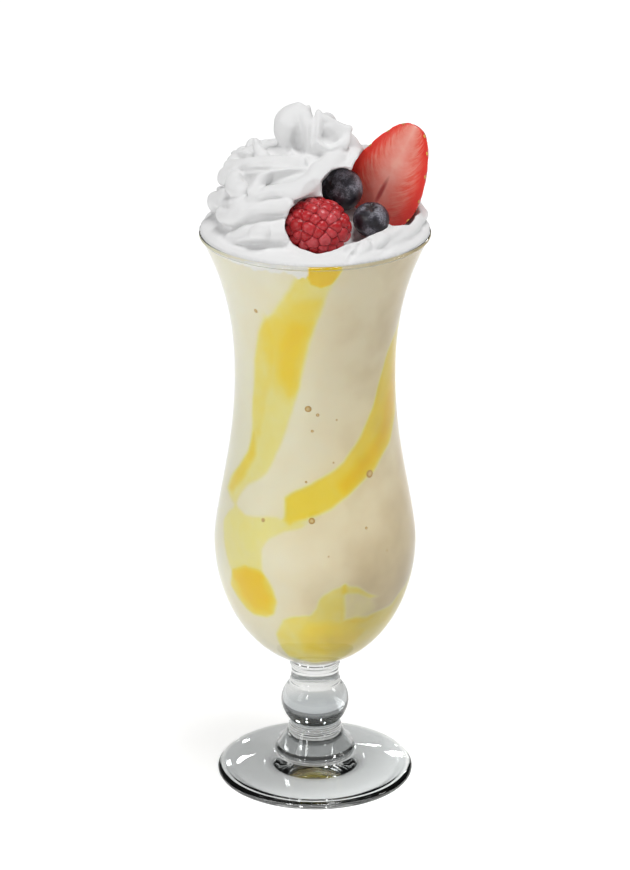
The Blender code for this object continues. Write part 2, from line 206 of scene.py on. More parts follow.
def add(tree, kind, sockets, **options):
    """A new shader node. Sockets are set, or joined where the value is another socket."""
    node = tree.nodes.new("ShaderNode" + kind)
    for option, value in options.items():
        setattr(node, option, value)
    for socket, value in sockets.items():
        if isinstance(value, bpy.types.NodeSocket):
            tree.links.new(value, node.inputs[socket])
        else:
            node.inputs[socket].default_value = value
    return node


def finish_tree(tree, shader):
    """Joins a shader node to the material's output."""
    add(tree, "OutputMaterial", {"Surface": shader.outputs[0]})


def store(mesh, name, values):
    """Keeps one number for each vertex of the mesh, under a name that a material reads."""
    layer = mesh.attributes.new(name, "FLOAT", "POINT")
    layer.data.foreach_set("value", np.asarray(values, np.float32).ravel())


def read(tree, name):
    """The socket of a stored number."""
    return add(tree, "Attribute", {}, attribute_name=name).outputs["Fac"]


def mix_colour(tree, factor, first, second):
    """Blend of two colours."""
    made = add(tree, "Mix", {0: factor, 6: first, 7: second}, data_type="RGBA")
    return made.outputs[2]


def glass_outline():
    """Outline of the glass from under the foot, up the outside and down the inside."""
    foot_underside = np.array(
        [(0.0, foot_hollow), (foot_flat_inner * 0.6, foot_hollow * 0.75), (foot_flat_inner, 0.0)]
    )
    half_edge = foot_edge / 2
    edge = arc(
        (foot_radius - half_edge, half_edge), (half_edge, half_edge),
        math.radians(-90), math.radians(80), 12,
    )
    way = np.linspace(0.92, 0.0, 40)
    slope_radius = foot_radius + (collar_radius - foot_radius) * (1 - way)
    slope = np.stack([slope_radius, foot_edge + foot_rise * (1 - way) ** foot_slope_power], 1)
    collar = arc(
        (collar_radius - collar_round, collar_height), (collar_round, collar_round),
        math.radians(-70), math.radians(70), 14,
    )
    collar_top = collar_height + collar_round
    fall = np.linspace(0.75, 0.0, 24)
    widening = collar_radius - stem_radius - collar_round / 2
    flare = np.stack(
        [
            stem_radius + widening * fall**stem_flare_power,
            stem_top + (collar_top - stem_top) * fall,
        ],
        1,
    )
    ball = arc(
        (0.0, ball_height), (ball_radius, ball_half_height), -ball_cut, ball_cut, 36
    )
    bowl = arc(
        (0.0, belly_height), (belly_radius, bowl_depth_outside), bowl_joins_stem, 0.0, 120
    )
    rise = np.linspace(0.0, 1.0, 30)[1:-1]
    neck_z = ball[-1, 1] + (bowl[0, 1] - ball[-1, 1]) * rise
    up = np.clip((neck_z - neck_height) / (bowl[0, 1] - neck_height), 0, 1)
    down = np.clip((neck_height - neck_z) / (neck_height - ball[-1, 1]), 0, 1)
    neck = np.stack(
        [
            neck_radius + (bowl[0, 0] - neck_radius) * up**4 + (ball[-1, 0] - neck_radius) * down**2,
            neck_z,
        ],
        1,
    )
    wall_z = np.linspace(belly_height, glass_height - lip_radius, 200)[1:]
    outside = np.stack([bowl_radius(wall_z), wall_z], 1)
    lip = arc(
        (rim_radius - lip_radius, glass_height - lip_radius), (lip_radius, lip_radius),
        0.0, math.pi, 16,
    )
    inside = np.stack([bowl_radius(wall_z) - wall, wall_z], 1)[::-1]
    bottom = arc(
        (0.0, belly_height), (belly_radius - wall, bowl_depth_inside), 0.0, -math.pi / 2, 90
    )
    return np.vstack(
        [foot_underside, edge, slope, collar, flare, ball, neck, bowl, outside, lip, inside, bottom]
    )


def with_rings(outline):
    """Adds the rings: bell curves outward on the stem, and upward on the top of the foot."""
    radius, height = outline[:, 0].copy(), outline[:, 1]
    for ring_height, stand_out, half_width in tooling_rings:
        bell = np.exp(-(((height - ring_height) / half_width) ** 2))
        radius += stand_out * bell * (radius < stem_limit)
    height = height.copy()
    on_top = (outline[:, 0] > foot_rings_from) & (height > foot_edge / 2) & (height < stem_top)
    for ring_radius, rise, half_width in foot_rings:
        bell = np.exp(-(((outline[:, 0] - ring_radius) / half_width) ** 2))
        height += rise * bell * on_top
    return np.stack([radius, height], 1)


clear_glass, tree = new_tree("clear_glass")
# The thick stem and foot take up a little more light than the thin wall does
glass_colour = mix_colour(tree, read(tree, "thick"), linear("F7F7F6"), linear("E2E3E3"))
# Painted reflection: the glass is coloured dark grey in a band at the bottom of the ball
glass_colour = mix_colour(tree, read(tree, "painted_ball_band"), glass_colour, linear("B6BABC"))
body = add(tree, "BsdfGlass", {"Color": glass_colour, "Roughness": 0.0, "IOR": 1.48})
for_lamps = add(tree, "BsdfTransparent", {"Color": (0.84, 0.85, 0.85, 1.0)})
ray = add(tree, "LightPath", {})
mixed = add(
    tree, "MixShader",
    {0: ray.outputs["Is Shadow Ray"], 1: body.outputs[0], 2: for_lamps.outputs[0]},
)
finish_tree(tree, mixed)

outline = with_rings(evened(glass_outline(), glass_spacing, glass_smoothing))
radius, height = outline.T
on_wall = (height > plain_wall_from) & (height < glass_height - plain_wall_below_rim)
under_foot = (height < foot_hollow * 1.05) & (radius < foot_flat_inner * 0.9)
in_turn = np.arange(len(outline)) % plain_rows == 0
outline = outline[~(on_wall | under_foot) | in_turn]
rings = carried_round(outline[1:-1], glass_around)
mesh = ring_mesh(
    "clear_footed_glass", rings, (0, 0, outline[0, 1]), (0, 0, outline[-1, 1])
)
height = rings[..., 2]
thick = np.clip((tint_top - height) / tint_fade, 0, 1)
thick *= np.where(height < collar_height - collar_round, 1.0, stem_tint)
# Painted light: the tint fades out at the foot's edge, which lightens the edge against its dark
# reflections
thick *= np.clip((foot_radius - np.hypot(rings[..., 0], rings[..., 1])) / foot_edge, 0, 1)
store(mesh, "thick", np.concatenate([thick.ravel(), [1.0, 0.0]]))
# Painted reflection: where the dark band at the bottom of the ball lies
painted_ball_band = np.exp(-(((height - painted_band_height) / painted_band_half) ** 4))
store(mesh, "painted_ball_band", np.concatenate([painted_ball_band.ravel(), [0.0, 0.0]]))
footed_glass = piece("clear_footed_glass", mesh, clear_glass)
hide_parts("glass")


# Milkshake: thick ivory drink that fills the bowl to the lip, with lemon curd let down
# the inside of the wall in streaks. Its surface reaches just into the wall, so that the
# glass lies on it without a layer of air.
drink_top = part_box("milkshake")[1].z
into_wall = 0.00012
drink_around = 360
drink_spacing = 0.158 / 234
drink_top_rows = 12
# Each patch of lemon: its strength, how softly it ends in mm, and its outline on the wall
# as pairs of an angle in degrees and a height in mm
patches = {
    "broad_pale": (0.36, 3.0, (
        (-6, 206), (15, 208), (9, 197), (3, 186), (-3, 178), (-8, 167), (-12, 157.5), (-18, 147),
        (-24, 137), (-29, 131), (-32, 128), (-39, 123), (-50, 119.6), (-56, 114), (-58, 110),
        (-60, 109.5), (-68, 111), (-75, 113.5), (-72, 118), (-63, 124), (-54, 131), (-52, 139),
        (-52, 150), (-50, 166), (-42, 177), (-28, 187), (-15, 197),
    )),
    "broad_top": (0.1, 10.0, (
        (-44, 183), (-30, 196), (-12, 207), (6, 207), (0, 192), (-12, 178), (-40, 172),
    )),
    "broad_mid": (0.24, 9.0, (
        (4, 193), (2, 188), (-2, 181), (-8, 169), (-13, 157), (-20, 153), (-31, 158), (-35, 171),
        (-33, 179), (-20, 187), (-6, 193),
    )),
    "broad_heart": (0.22, 6.0, (
        (-2, 184), (-8, 172), (-13, 158), (-20, 156), (-27, 163), (-24, 175), (-15, 183),
    )),
    "broad_left": (0.12, 3.0, (
        (-34, 186), (-29, 176), (-34, 160), (-40, 146), (-46, 132), (-58, 118), (-64, 113),
        (-70, 114), (-64, 122), (-55, 130), (-53, 140), (-52, 152), (-50, 166), (-43, 177),
    )),
    "broad_tail": (0.24, 3.5, (
        (-50, 138), (-46, 131), (-56, 121), (-66, 113), (-72, 114), (-64, 123), (-55, 131),
    )),
    "rim_patch": (0.86, 1.3, (
        (-4.6, 209), (14, 209), (14, 206.7), (12, 203.4), (9, 200.0), (4, 198.2), (-1, 199.6),
        (-3.6, 203),
    )),
    "long_side": (0.7, 3.0, (
        (118, 209), (100, 209), (92, 190), (88, 178), (73, 172), (64, 167), (57, 159.6),
        (47, 148.5), (36, 139.5), (27, 134.5), (20, 130.5), (6, 126.3), (-6, 123), (-16, 119.8),
        (-21, 117.8), (-20, 110.6), (-16, 109.5), (-6, 110.6), (0, 112), (12, 115.2), (27, 120.8),
        (43, 124.8), (50, 128.0), (66, 133.5), (80, 140.5), (97, 156), (106, 172), (112, 190),
    )),
    "long_heart": (0.3, 5.0, (
        (100, 170), (86, 160), (71, 151), (58, 142), (47, 135.5), (35, 131), (26, 127.4),
        (20, 125.5), (16, 122.5), (20, 120.5), (34, 125), (50, 130.5), (64, 136.5), (78, 143.5),
        (96, 158),
    )),
    "long_deep": (0.16, 5.0, (
        (104, 176), (84, 166), (70, 158), (56, 146), (62, 141), (76, 147), (90, 156),
    )),
    "pale_pool": (0.34, 2.4, (
        (-57, 110), (-48, 109), (-35, 110.4), (-25, 111.4), (-14, 109.6), (-5, 109.4), (-8, 107.8),
        (-19, 106.2), (-28, 102.5), (-31.5, 99), (-32, 93), (-31, 88), (-42, 84), (-54, 84),
        (-61, 89), (-67, 96), (-72, 102.6), (-67, 107),
    )),
    "blob": (0.56, 2.4, (
        (-56, 87), (-60, 81), (-56, 77), (-49, 73.4), (-43, 71.8), (-33, 72), (-27, 74.4),
        (-24, 79), (-25, 83.5), (-29, 88), (-34, 90), (-45, 90.5),
    )),
    "blob_heart": (0.42, 4.5, (
        (-53, 84), (-50, 78), (-40, 74), (-30, 75), (-27, 80), (-33, 87), (-43, 88),
    )),
    "low_pool": (0.5, 2.6, (
        (-31, 54), (-29, 65), (-22, 72.2), (-15, 73.8), (-3, 75.6), (1, 78.3), (3, 82), (6, 84),
        (11, 86), (18, 87), (18, 81), (20, 72.7), (28, 72.8), (36, 71.5), (44, 72.6), (56, 73.3),
        (63, 76.3), (72, 78.5), (82, 83), (92, 92), (99, 90), (97, 74), (84, 60), (50, 52),
        (0, 51),
    )),
    "low_heart": (0.22, 5.0, (
        (-12, 66), (-3, 71), (10, 72), (24, 70), (37, 66), (31, 59), (10, 56), (-9, 58.5),
    )),
    "low_crest": (0.44, 2.0, (
        (17, 87.1), (25, 85.3), (32, 82), (42, 79), (35, 79.5), (26, 82.6), (17, 84),
    )),
    "low_veil": (0.22, 4.0, (
        (19, 84), (27, 83), (36, 79.5), (42, 75), (40, 71), (28, 70), (18, 73),
    )),
    "back_broad": (0.46, 3.0, (
        (163, 209), (193, 209), (182, 190), (171, 170), (161, 148), (150, 128), (131, 111),
        (126, 114), (137, 132), (142, 152), (146, 172), (151, 190),
    )),
    "back_heart": (0.3, 5.0, (
        (170, 196), (178, 184), (166, 160), (156, 150), (150, 160), (156, 180),
    )),
    "back_long": (0.74, 3.0, (
        (264, 186), (258, 168), (247, 152), (230, 137), (206, 125), (180, 116), (176, 121),
        (200, 134), (224, 147), (240, 161), (251, 174), (257, 186),
    )),
    "back_pool": (0.36, 2.6, (
        (222, 112), (205, 108), (193, 98), (191, 84), (206, 80), (220, 90), (228, 102),
    )),
    "back_blob": (0.8, 2.6, (
        (214, 90), (200, 92), (190, 85), (186, 76), (196, 71), (208, 76),
    )),
    "back_low": (0.52, 2.0, (
        (212, 54), (196, 72), (172, 76), (150, 70), (130, 76), (112, 70), (116, 54),
    )),
}
map_radius = 32.0
# How far the cream hangs down inside the wall: an angle in degrees and a drop in mm
rim_cream_dip = (
    (-75, 0.3), (-50, 1.0), (-30, 2.2), (-16, 1.8), (-8, 3.2), (-4.4, 3.8), (-3.0, 0.0),
)


def wavering(angle, height):
    """Small smooth shifts of a patch's edge in mm: a sum of two slow sine waves each way."""
    a = np.radians(angle)
    shift = 0.30 * np.sin(5 * a + height / 6.0) + 0.20 * np.sin(11 * a - height / 3.2 + 1.0)
    lift = 0.30 * np.sin(6 * a + height / 7.0 + 2.0) + 0.20 * np.sin(13 * a + height / 3.6)
    return shift, lift


def patch_share(angle, height, patch):
    """Strength of lemon at each point (angle in degrees, height in mm) from one patch.

    The wall is laid flat at one radius. The distance to the outline is the least one to
    its sides, negative inside, which is where a level ray crosses the sides an odd number
    of times. The strength falls with a smooth S curve over the softness at the edge.
    """
    strength, soft, outline = patch
    corners = np.array(outline, float)
    middle = corners[:, 0].mean()
    turned_angle = (angle - middle + 180) % 360 - 180
    x = np.radians(turned_angle) * map_radius
    corner_x = np.radians(corners[:, 0] - middle) * map_radius
    corner_z = corners[:, 1]
    share = np.zeros(angle.shape)
    near = (
        (x > corner_x.min() - soft) & (x < corner_x.max() + soft)
        & (height > corner_z.min() - soft) & (height < corner_z.max() + soft)
    )
    px, pz = x[near], height[near]
    distance = np.full(px.shape, 1e9)
    inside = np.zeros(px.shape, bool)
    for k in range(len(corners)):
        ax, az, bx, bz = corner_x[k - 1], corner_z[k - 1], corner_x[k], corner_z[k]
        along = (px - ax) * (bx - ax) + (pz - az) * (bz - az)
        way = np.clip(along / ((bx - ax) ** 2 + (bz - az) ** 2), 0, 1)
        away = np.hypot(px - ax - way * (bx - ax), pz - az - way * (bz - az))
        distance = np.minimum(distance, away)
        if az != bz:
            crossing = ax + (pz - az) / (bz - az) * (bx - ax)
            inside ^= ((az > pz) != (bz > pz)) & (px < crossing)
    fall = np.clip(np.where(inside, -distance, distance) / soft + 0.5, 0, 1)
    share[near] = strength * (1 - fall * fall * (3 - 2 * fall))
    return share


def ramp(tree, factor, *stops):
    """Colours along a factor: each stop is a position and a colour in hex digits."""
    made = add(tree, "ValToRGB", {"Fac": factor})
    while len(made.color_ramp.elements) < len(stops):
        made.color_ramp.elements.new(0.5)
    for element, (position, code) in zip(made.color_ramp.elements, stops):
        element.position = position
        element.color = linear(code)
    return made.outputs["Color"]


def calculated(tree, operation, *values, clamped=False):
    """The socket of one step of arithmetic on sockets and numbers."""
    steps = dict(enumerate(values))
    return add(tree, "Math", steps, operation=operation, use_clamp=clamped).outputs[0]


def noise(tree, scale, detail, roughness, vector):
    """Noise of about so many lumps to the metre, between 0 and 1."""
    sockets = {"Scale": scale, "Detail": detail, "Roughness": roughness, "Vector": vector}
    return add(tree, "TexNoise", sockets).outputs["Fac"]


def stretch(tree, value, low, high, new_low, new_high):
    """Maps the range low to high on to the new range, with both ends held."""
    sockets = {0: value, 1: low, 2: high, 3: new_low, 4: new_high}
    return add(tree, "MapRange", sockets, clamp=True).outputs[0]


def drink_outline():
    """From the bottom of the bowl up its inner wall, then in over the level top."""
    bottom = arc(
        (0.0, belly_height),
        (belly_radius - wall + into_wall, bowl_depth_inside + into_wall),
        -math.pi / 2, 0.0, 80,
    )
    wall_z = np.linspace(belly_height, drink_top, 140)[1:]
    side = np.stack([bowl_radius(wall_z) - wall + into_wall, wall_z], 1)
    return evened(np.vstack([bottom, side]), drink_spacing, glass_smoothing)


side = drink_outline()
level = np.linspace(0.98, 0.03, drink_top_rows)
top = np.stack([side[-1, 0] * level, np.full(drink_top_rows, drink_top)], 1)
rings = carried_round(np.vstack([side[1:], top]), drink_around)
mesh = ring_mesh(
    "ivory_milkshake", rings, (0, 0, side[0, 1]), (0, 0, drink_top)
)
points = np.vstack([rings.reshape(-1, 3), [(0, 0, side[0, 1])], [(0, 0, drink_top)]])
angle = np.degrees(np.arctan2(points[:, 0], -points[:, 1]))
height = points[:, 2] * 1000
shift, lift = wavering(angle, height)
spread_angle = angle + np.degrees(shift / map_radius)
lemon = np.zeros(len(points))
for patch in patches.values():
    lemon = lemon + patch_share(spread_angle, height + lift, patch)
store(mesh, "lemon", np.clip(lemon, 0, 1))
dip = np.interp(angle, *np.array(rim_cream_dip).T, left=0, right=0)
dip = dip * (1 + 0.22 * np.sin(angle * 0.52) + 0.14 * np.sin(angle * 1.31 + 1))
under_rim = drink_top * 1000 - height
store(mesh, "cream", np.clip((dip - under_rim) / 0.5 + 0.5, 0, 1) * (dip > 0.01))
# Painted shade: the drink is made darker and browner towards the right and low down, where it lies
# in shade
to_right = 0.5 + 0.5 * np.sin(np.radians(angle - 12))
low_down = np.clip((118 - height) / 45, 0, 1)
store(mesh, "tan", 0.62 * to_right + 0.38 * low_down * to_right**0.6)

milkshake, tree = new_tree("ivory_milkshake")
spot = add(tree, "TexCoord", {}).outputs["Object"]
blotches = noise(tree, 55.0, 3.0, 0.5, spot)
# Painted shade, with random blotches of tone: towards the right and low down the ivory turns tan
tan = calculated(tree, "ADD", read(tree, "tan"), stretch(tree, blotches, 0.3, 0.7, -0.14, 0.14))
ivory = ramp(tree, tan, (0.0, "F2EFDA"), (0.32, "F1E7C9"), (0.62, "EBDCB8"), (1.0, "E0CEA4"))
wisps = stretch(tree, noise(tree, 160.0, 4.0, 0.6, spot), 0.3, 0.7, -0.06, 0.06)
lemon_here = calculated(tree, "ADD", read(tree, "lemon"), wisps, clamped=True)
yellow = ramp(
    tree, lemon_here,
    (0.10, "F0EAC6"), (0.36, "F1E998"), (0.60, "F4E05A"), (0.80, "F6DA30"), (1.0, "F6D010"),
)
cover = stretch(tree, lemon_here, 0.03, 0.30, 0.0, 1.0)
drink_colour = mix_colour(tree, cover, ivory, yellow)
# Painted shade: the colour is multiplied darker towards the right and low down
shade = ramp(tree, tan, (0.40, "FFFFFF"), (0.72, "EBE8E2"), (1.0, "D5D0C8"))
shaded = add(
    tree, "Mix", {0: 1.0, 6: drink_colour, 7: shade}, data_type="RGBA", blend_type="MULTIPLY"
)
drink_colour = shaded.outputs[2]
drink_colour = mix_colour(tree, read(tree, "cream"), drink_colour, linear("F4F4F2"))
drink_shader = add(
    tree, "BsdfPrincipled",
    {
        "Base Color": drink_colour, "Roughness": 0.5, "Specular IOR Level": 0.1,
        "Subsurface Weight": 0.25, "Subsurface Radius": (1.0, 0.8, 0.5), "Subsurface Scale": 0.0015,
    },
)
finish_tree(tree, drink_shader)
drink = piece("ivory_milkshake", mesh, milkshake)
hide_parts("milkshake")


# Bubbles: air caught between the drink and the wall, seen as small tan rings. Each is a
# low dome that stands out of the drink's surface into the glass.
# The angle of each in degrees, its height in mm and its size in mm
bubbles = (
    (-5, 150.7, 1.35), (2, 148.5, 0.7), (16, 146.3, 0.4), (-2, 142.6, 0.6),
    (40, 124.7, 1.6), (-2, 110.7, 1.3), (33, 106.2, 0.6), (-41, 185.8, 0.9),
    (-6, 124.3, 0.5), (47, 96, 0.4), (-34, 108.9, 0.8), (8, 98, 0.35), (13, 131, 0.4),
    (172, 150, 1.2), (188, 141, 0.6), (150, 112, 1.1), (205, 172, 0.8), (228, 96, 1.3),
    (121, 139, 0.7), (139, 176, 0.5), (-110, 120, 0.9), (-98, 158, 0.6), (101, 104, 0.8),
)
dome_rows = 6
dome_around = 16


def drink_radius(height):
    """Radius of the drink's surface in metres at a height in metres."""
    low = np.clip((height - belly_height) / bowl_depth_inside, -1, 0)
    bottom = (belly_radius - wall) * np.sqrt(1 - low * low)
    return np.where(height > belly_height, bowl_radius(height) - wall, bottom) + into_wall


def dome_grid(turn, height, size):
    """One flat dome on the drink's wall, and how far each point is from its middle.

    Across it the distance from the middle is an even share of the size, and the dome
    stands out by the square root of one minus that share squared.
    """
    share = np.linspace(1.0, 0.0, dome_rows)[:, None]
    round_it = np.arange(dome_around) * (2 * np.pi / dome_around)
    across = share * np.cos(round_it) * size
    up = share * np.sin(round_it) * size
    out = 0.30 * size * np.sqrt(1 - share**2) - 0.12 * size
    radius = drink_radius(height + up) + out
    around = turn + across / radius
    grid = np.stack([radius * np.sin(around), -radius * np.cos(around), height + up], 2)
    return grid, share * np.ones(dome_around)


def joined_grids(name, grids):
    """One mesh from many like grids, each closed to rings and shut at both ends."""
    points, faces = [], []
    start = 0
    for grid in grids:
        rows, columns = grid.shape[:2]
        here = np.arange(rows * columns).reshape(rows, columns) + start
        beside = np.roll(here, -1, axis=1)
        quads = np.stack([here[:-1], beside[:-1], beside[1:], here[1:]], 2)
        faces += quads.reshape(-1, 4).tolist()
        faces += [here[0, ::-1].tolist(), here[-1].tolist()]
        points.append(grid.reshape(-1, 3))
        start += rows * columns
    mesh = bpy.data.meshes.new(name)
    mesh.from_pydata(np.vstack(points).tolist(), [], faces)
    mesh.shade_smooth()
    return mesh


grids = [dome_grid(math.radians(a), z / 1000, size / 1000) for a, z, size in bubbles]
mesh = joined_grids("tan_bubbles", [grid for grid, share in grids])
store(mesh, "share", np.concatenate([share.ravel() for grid, share in grids]))
bubble_skin, tree = new_tree("tan_bubbles")
spot = add(tree, "TexCoord", {}).outputs["Object"]
mottle = stretch(tree, noise(tree, 900.0, 2.0, 0.5, spot), 0.3, 0.7, -0.1, 0.1)
edge_share = calculated(tree, "ADD", read(tree, "share"), mottle)
bubble_colour = ramp(tree, edge_share, (0.25, "DCC48E"), (0.6, "C9A258"), (0.9, "B98F3E"))
bubble_shader = add(
    tree, "BsdfPrincipled", {"Base Color": bubble_colour, "Roughness": 0.3, "IOR": 1.3}
)
finish_tree(tree, bubble_shader)
bubble_piece = piece("tan_bubbles", mesh, bubble_skin)


# Whipped cream: piped from a star nozzle as one ribbed rope, wound up into a cone, with
# a ribbed peak pulled off on top. The berries are pressed into its front. It meets the
# glass just inside the lip.
cream_base = drink_top + 0.0002
cream_top = 0.2540
centre_below = np.array([0.0003, 0.0010])
centre_above = np.array([-0.0012, 0.0030])
# The rope's route, half a turn apart: outer reach, height and half thickness
rope_start = -0.5
rope_end = 2.6
rope_route = np.array(
    [
        (0.0372, 0.2110, 0.0085),
        (0.0382, 0.2114, 0.0088),
        (0.0373, 0.2134, 0.0085),
        (0.0350, 0.2203, 0.0084),
        (0.0310, 0.2270, 0.0079),
        (0.0225, 0.2285, 0.0062),
        (0.0180, 0.2296, 0.0050),
    ]
)
rope_ribs = 8
rope_twist = 1.45
rib_depth = 0.44
rib_roundness = 0.85
first_end_turns = 0.12
last_end_turns = 0.10
rope_stations = 900
rope_sides = 200
# Ribs of the rope are pressed back here, where folds lie over it: direction in radians,
# half width, how far
fold_side = (math.radians(235), math.radians(64), 0.0034)
# Folds of cream: stations in mm along each one, (x, y, z, half thickness). The first lie
# round the lip, the next climb the left and the front in tiers, the last are the crown.
folds = (
    ((-37.9, 6.0, 205.8, 2.2), (-36.6, -5.1, 206.4, 2.8), (-29.9, -16.9, 206.6, 3.2),
     (-20.6, -27.6, 207.0, 3.4), (-11.0, -32.4, 207.4, 3.8), (-1.5, -34.0, 207.6, 3.9),
     (6.4, -33.8, 208.0, 3.0)),
    ((-30.3, -17.3, 209.3, 2.2), (-25.5, -22.2, 212.0, 3.0), (-20.8, -25.2, 214.3, 3.6),
     (-14.3, -27.3, 215.6, 4.2), (-7.2, -28.5, 216.6, 4.2)),
    ((-15.3, -29.2, 216.0, 3.0), (-18.6, -29.2, 216.6, 2.8), (-21.6, -28.4, 215.6, 1.6)),
    ((-32.2, -7.9, 215.2, 3.2), (-27.3, -15.7, 217.3, 3.6), (-23.6, -19.3, 219.6, 3.4),
     (-19.4, -21.9, 222.0, 3.0), (-13.9, -24.3, 223.5, 2.8), (-7.1, -25.2, 225.0, 3.0)),
    ((-28.7, -9.1, 222.8, 2.6), (-32.9, 0.4, 217.7, 3.4), (-33.2, 5.0, 214.6, 3.4),
     (-32.4, 14.0, 212.0, 2.6)),
    ((-33.2, 0.5, 217.4, 2.8), (-27.5, -13.7, 220.8, 2.6), (-22.2, -19.0, 223.5, 2.3),
     (-18.5, -20.9, 226.8, 2.1), (-14.0, -22.2, 228.6, 2.2), (-8.2, -23.4, 229.6, 2.4),
     (-3.0, -22.0, 230.6, 2.8)),
    ((-24.4, -8.8, 229.5, 2.6), (-27.0, -8.2, 227.5, 3.3), (-26.4, -11.5, 225.6, 3.6),
     (-23.4, -16.8, 225.6, 2.6)),
    ((-21.8, -19.8, 226.1, 1.5), (-19.9, -19.3, 228.8, 1.8), (-17.6, -17.5, 231.0, 1.9),
     (-13.6, -15.4, 232.3, 2.0), (-8.6, -14.3, 232.8, 2.2)),
    ((-25.6, -7.5, 230.2, 2.0), (-29.0, -1.7, 227.2, 3.4), (-29.4, 3.0, 225.2, 3.8),
     (-26.0, 12.0, 222.5, 3.4)),
    ((-30.4, 2.6, 229.0, 2.8), (-24.4, -3.3, 230.5, 3.5), (-16.1, -7.2, 231.9, 3.9),
     (-8.7, -9.8, 232.8, 4.0), (-2.2, -10.8, 233.6, 3.8)),
    ((-29.4, 2.4, 229.2, 2.8), (-24.0, 6.0, 230.4, 3.8), (-16.0, 9.0, 231.6, 4.4),
     (-8.0, 10.0, 232.2, 4.4)),
    ((-11.0, -23.6, 227.4, 1.8), (-6.4, -23.4, 229.0, 2.9), (-1.9, -19.6, 230.6, 3.8),
     (2.6, -13.5, 232.2, 4.4), (6.7, -7.6, 234.0, 4.6), (10.4, 0.4, 234.8, 3.6)),
    ((13.4, 7.6, 234.2, 3.0), (13.8, -1.8, 234.4, 3.0), (12.4, -10.9, 232.4, 2.9),
     (9.8, -17.6, 230.0, 2.8)),
    ((-16.8, -4.0, 232.6, 3.4), (-18.8, -2.2, 234.8, 2.8), (-19.8, -1.2, 237.6, 1.7),
     (-20.4, -1.2, 240.6, 0.6)),
    ((4.8, -33.8, 207.8, 2.6), (8.7, -33.2, 210.0, 1.9), (11.3, -32.0, 213.0, 1.6),
     (14.5, -30.4, 214.5, 1.8)),
    ((10.6, -33.6, 208.9, 2.0), (13.2, -32.8, 209.1, 2.9), (16.2, -31.4, 210.6, 2.4),
     (18.2, -29.6, 213.0, 1.9)),
    ((17.0, -30.6, 208.4, 1.8), (20.4, -28.6, 211.0, 2.0), (24.4, -24.6, 213.4, 1.9)),
    ((21.6, -27.8, 207.9, 2.8), (25.4, -23.9, 209.6, 2.6), (28.6, -20.0, 210.5, 2.6),
     (32.4, -13.0, 211.2, 3.0), (34.5, 0.0, 211.6, 3.4), (33.0, 10.0, 211.0, 3.4)),
    ((-8.0, 1.0, 234.0, 3.4), (-9.2, 0.6, 239.0, 3.6), (-9.2, 0.8, 243.6, 5.0),
     (-7.6, 1.0, 247.0, 5.0), (-5.4, 1.2, 250.0, 3.2), (-4.2, 1.4, 252.0, 1.2)),
    ((-4.8, 1.0, 233.0, 5.0), (-4.6, 0.6, 238.6, 5.0), (-4.2, 0.8, 243.6, 4.6),
     (-3.8, 1.4, 248.4, 3.0)),
    ((-1.6, -4.6, 236.0, 2.6), (-2.0, -4.7, 241.0, 2.2), (-2.4, -3.6, 245.2, 2.2),
     (-3.4, -1.4, 248.2, 2.4), (-4.6, 0.6, 250.6, 1.7)),
    ((-1.9, 0.6, 246.1, 1.8), (-2.2, 1.1, 249.0, 1.2), (-2.5, 1.4, 251.8, 0.5)),
    ((1.2, -6.6, 237.0, 2.4), (0.7, -6.1, 242.0, 1.7), (0.8, -4.3, 245.7, 1.5),
     (1.2, -2.2, 248.3, 1.4), (1.3, -1.4, 250.6, 0.5)),
    ((1.5, -1.7, 248.6, 1.2), (4.8, -1.5, 246.6, 1.6), (8.2, -1.4, 244.6, 1.7),
     (11.0, -1.4, 243.4, 1.6), (12.0, -1.4, 245.0, 0.6)),
    ((3.0, 1.0, 232.6, 6.2), (4.2, 0.8, 238.2, 6.4), (5.4, 0.4, 242.2, 5.4),
     (5.0, 0.4, 245.2, 3.6)),
    ((0.9, -6.9, 240.0, 1.6), (3.1, -7.4, 238.5, 1.8), (6.0, -7.1, 238.0, 1.8),
     (8.8, -5.4, 238.8, 1.7), (10.3, -3.5, 240.7, 1.6), (11.2, -1.7, 243.0, 1.4)),
    ((9.2, 0.6, 240.8, 3.0), (11.6, 1.4, 238.2, 3.2), (13.2, 2.6, 235.6, 3.6),
     (14.0, 4.0, 232.4, 3.8)),
    ((-17.0, 1.0, 231.8, 4.0), (-12.0, -0.5, 233.2, 4.6), (-8.0, -0.5, 234.6, 4.6)),
    ((1.4, -2.2, 243.5, 2.4), (4.4, -2.0, 244.0, 2.8), (7.4, -1.8, 242.6, 2.8),
     (9.0, -1.6, 240.6, 2.6)),
    ((4.0, 8.0, 234.0, 3.8), (5.0, 8.2, 240.0, 3.4), (4.5, 6.0, 244.0, 2.4),
     (3.5, 4.0, 247.0, 1.1)),
    ((-4.0, 8.6, 233.5, 3.4), (-4.5, 8.8, 238.6, 3.4), (-4.5, 6.6, 244.0, 2.8),
     (-4.6, 4.2, 248.6, 1.6)),
    ((10.4, 6.6, 233.5, 3.6), (10.6, 7.0, 238.0, 2.9), (9.0, 5.0, 242.0, 1.6)),
)
fold_rounding = 0.45
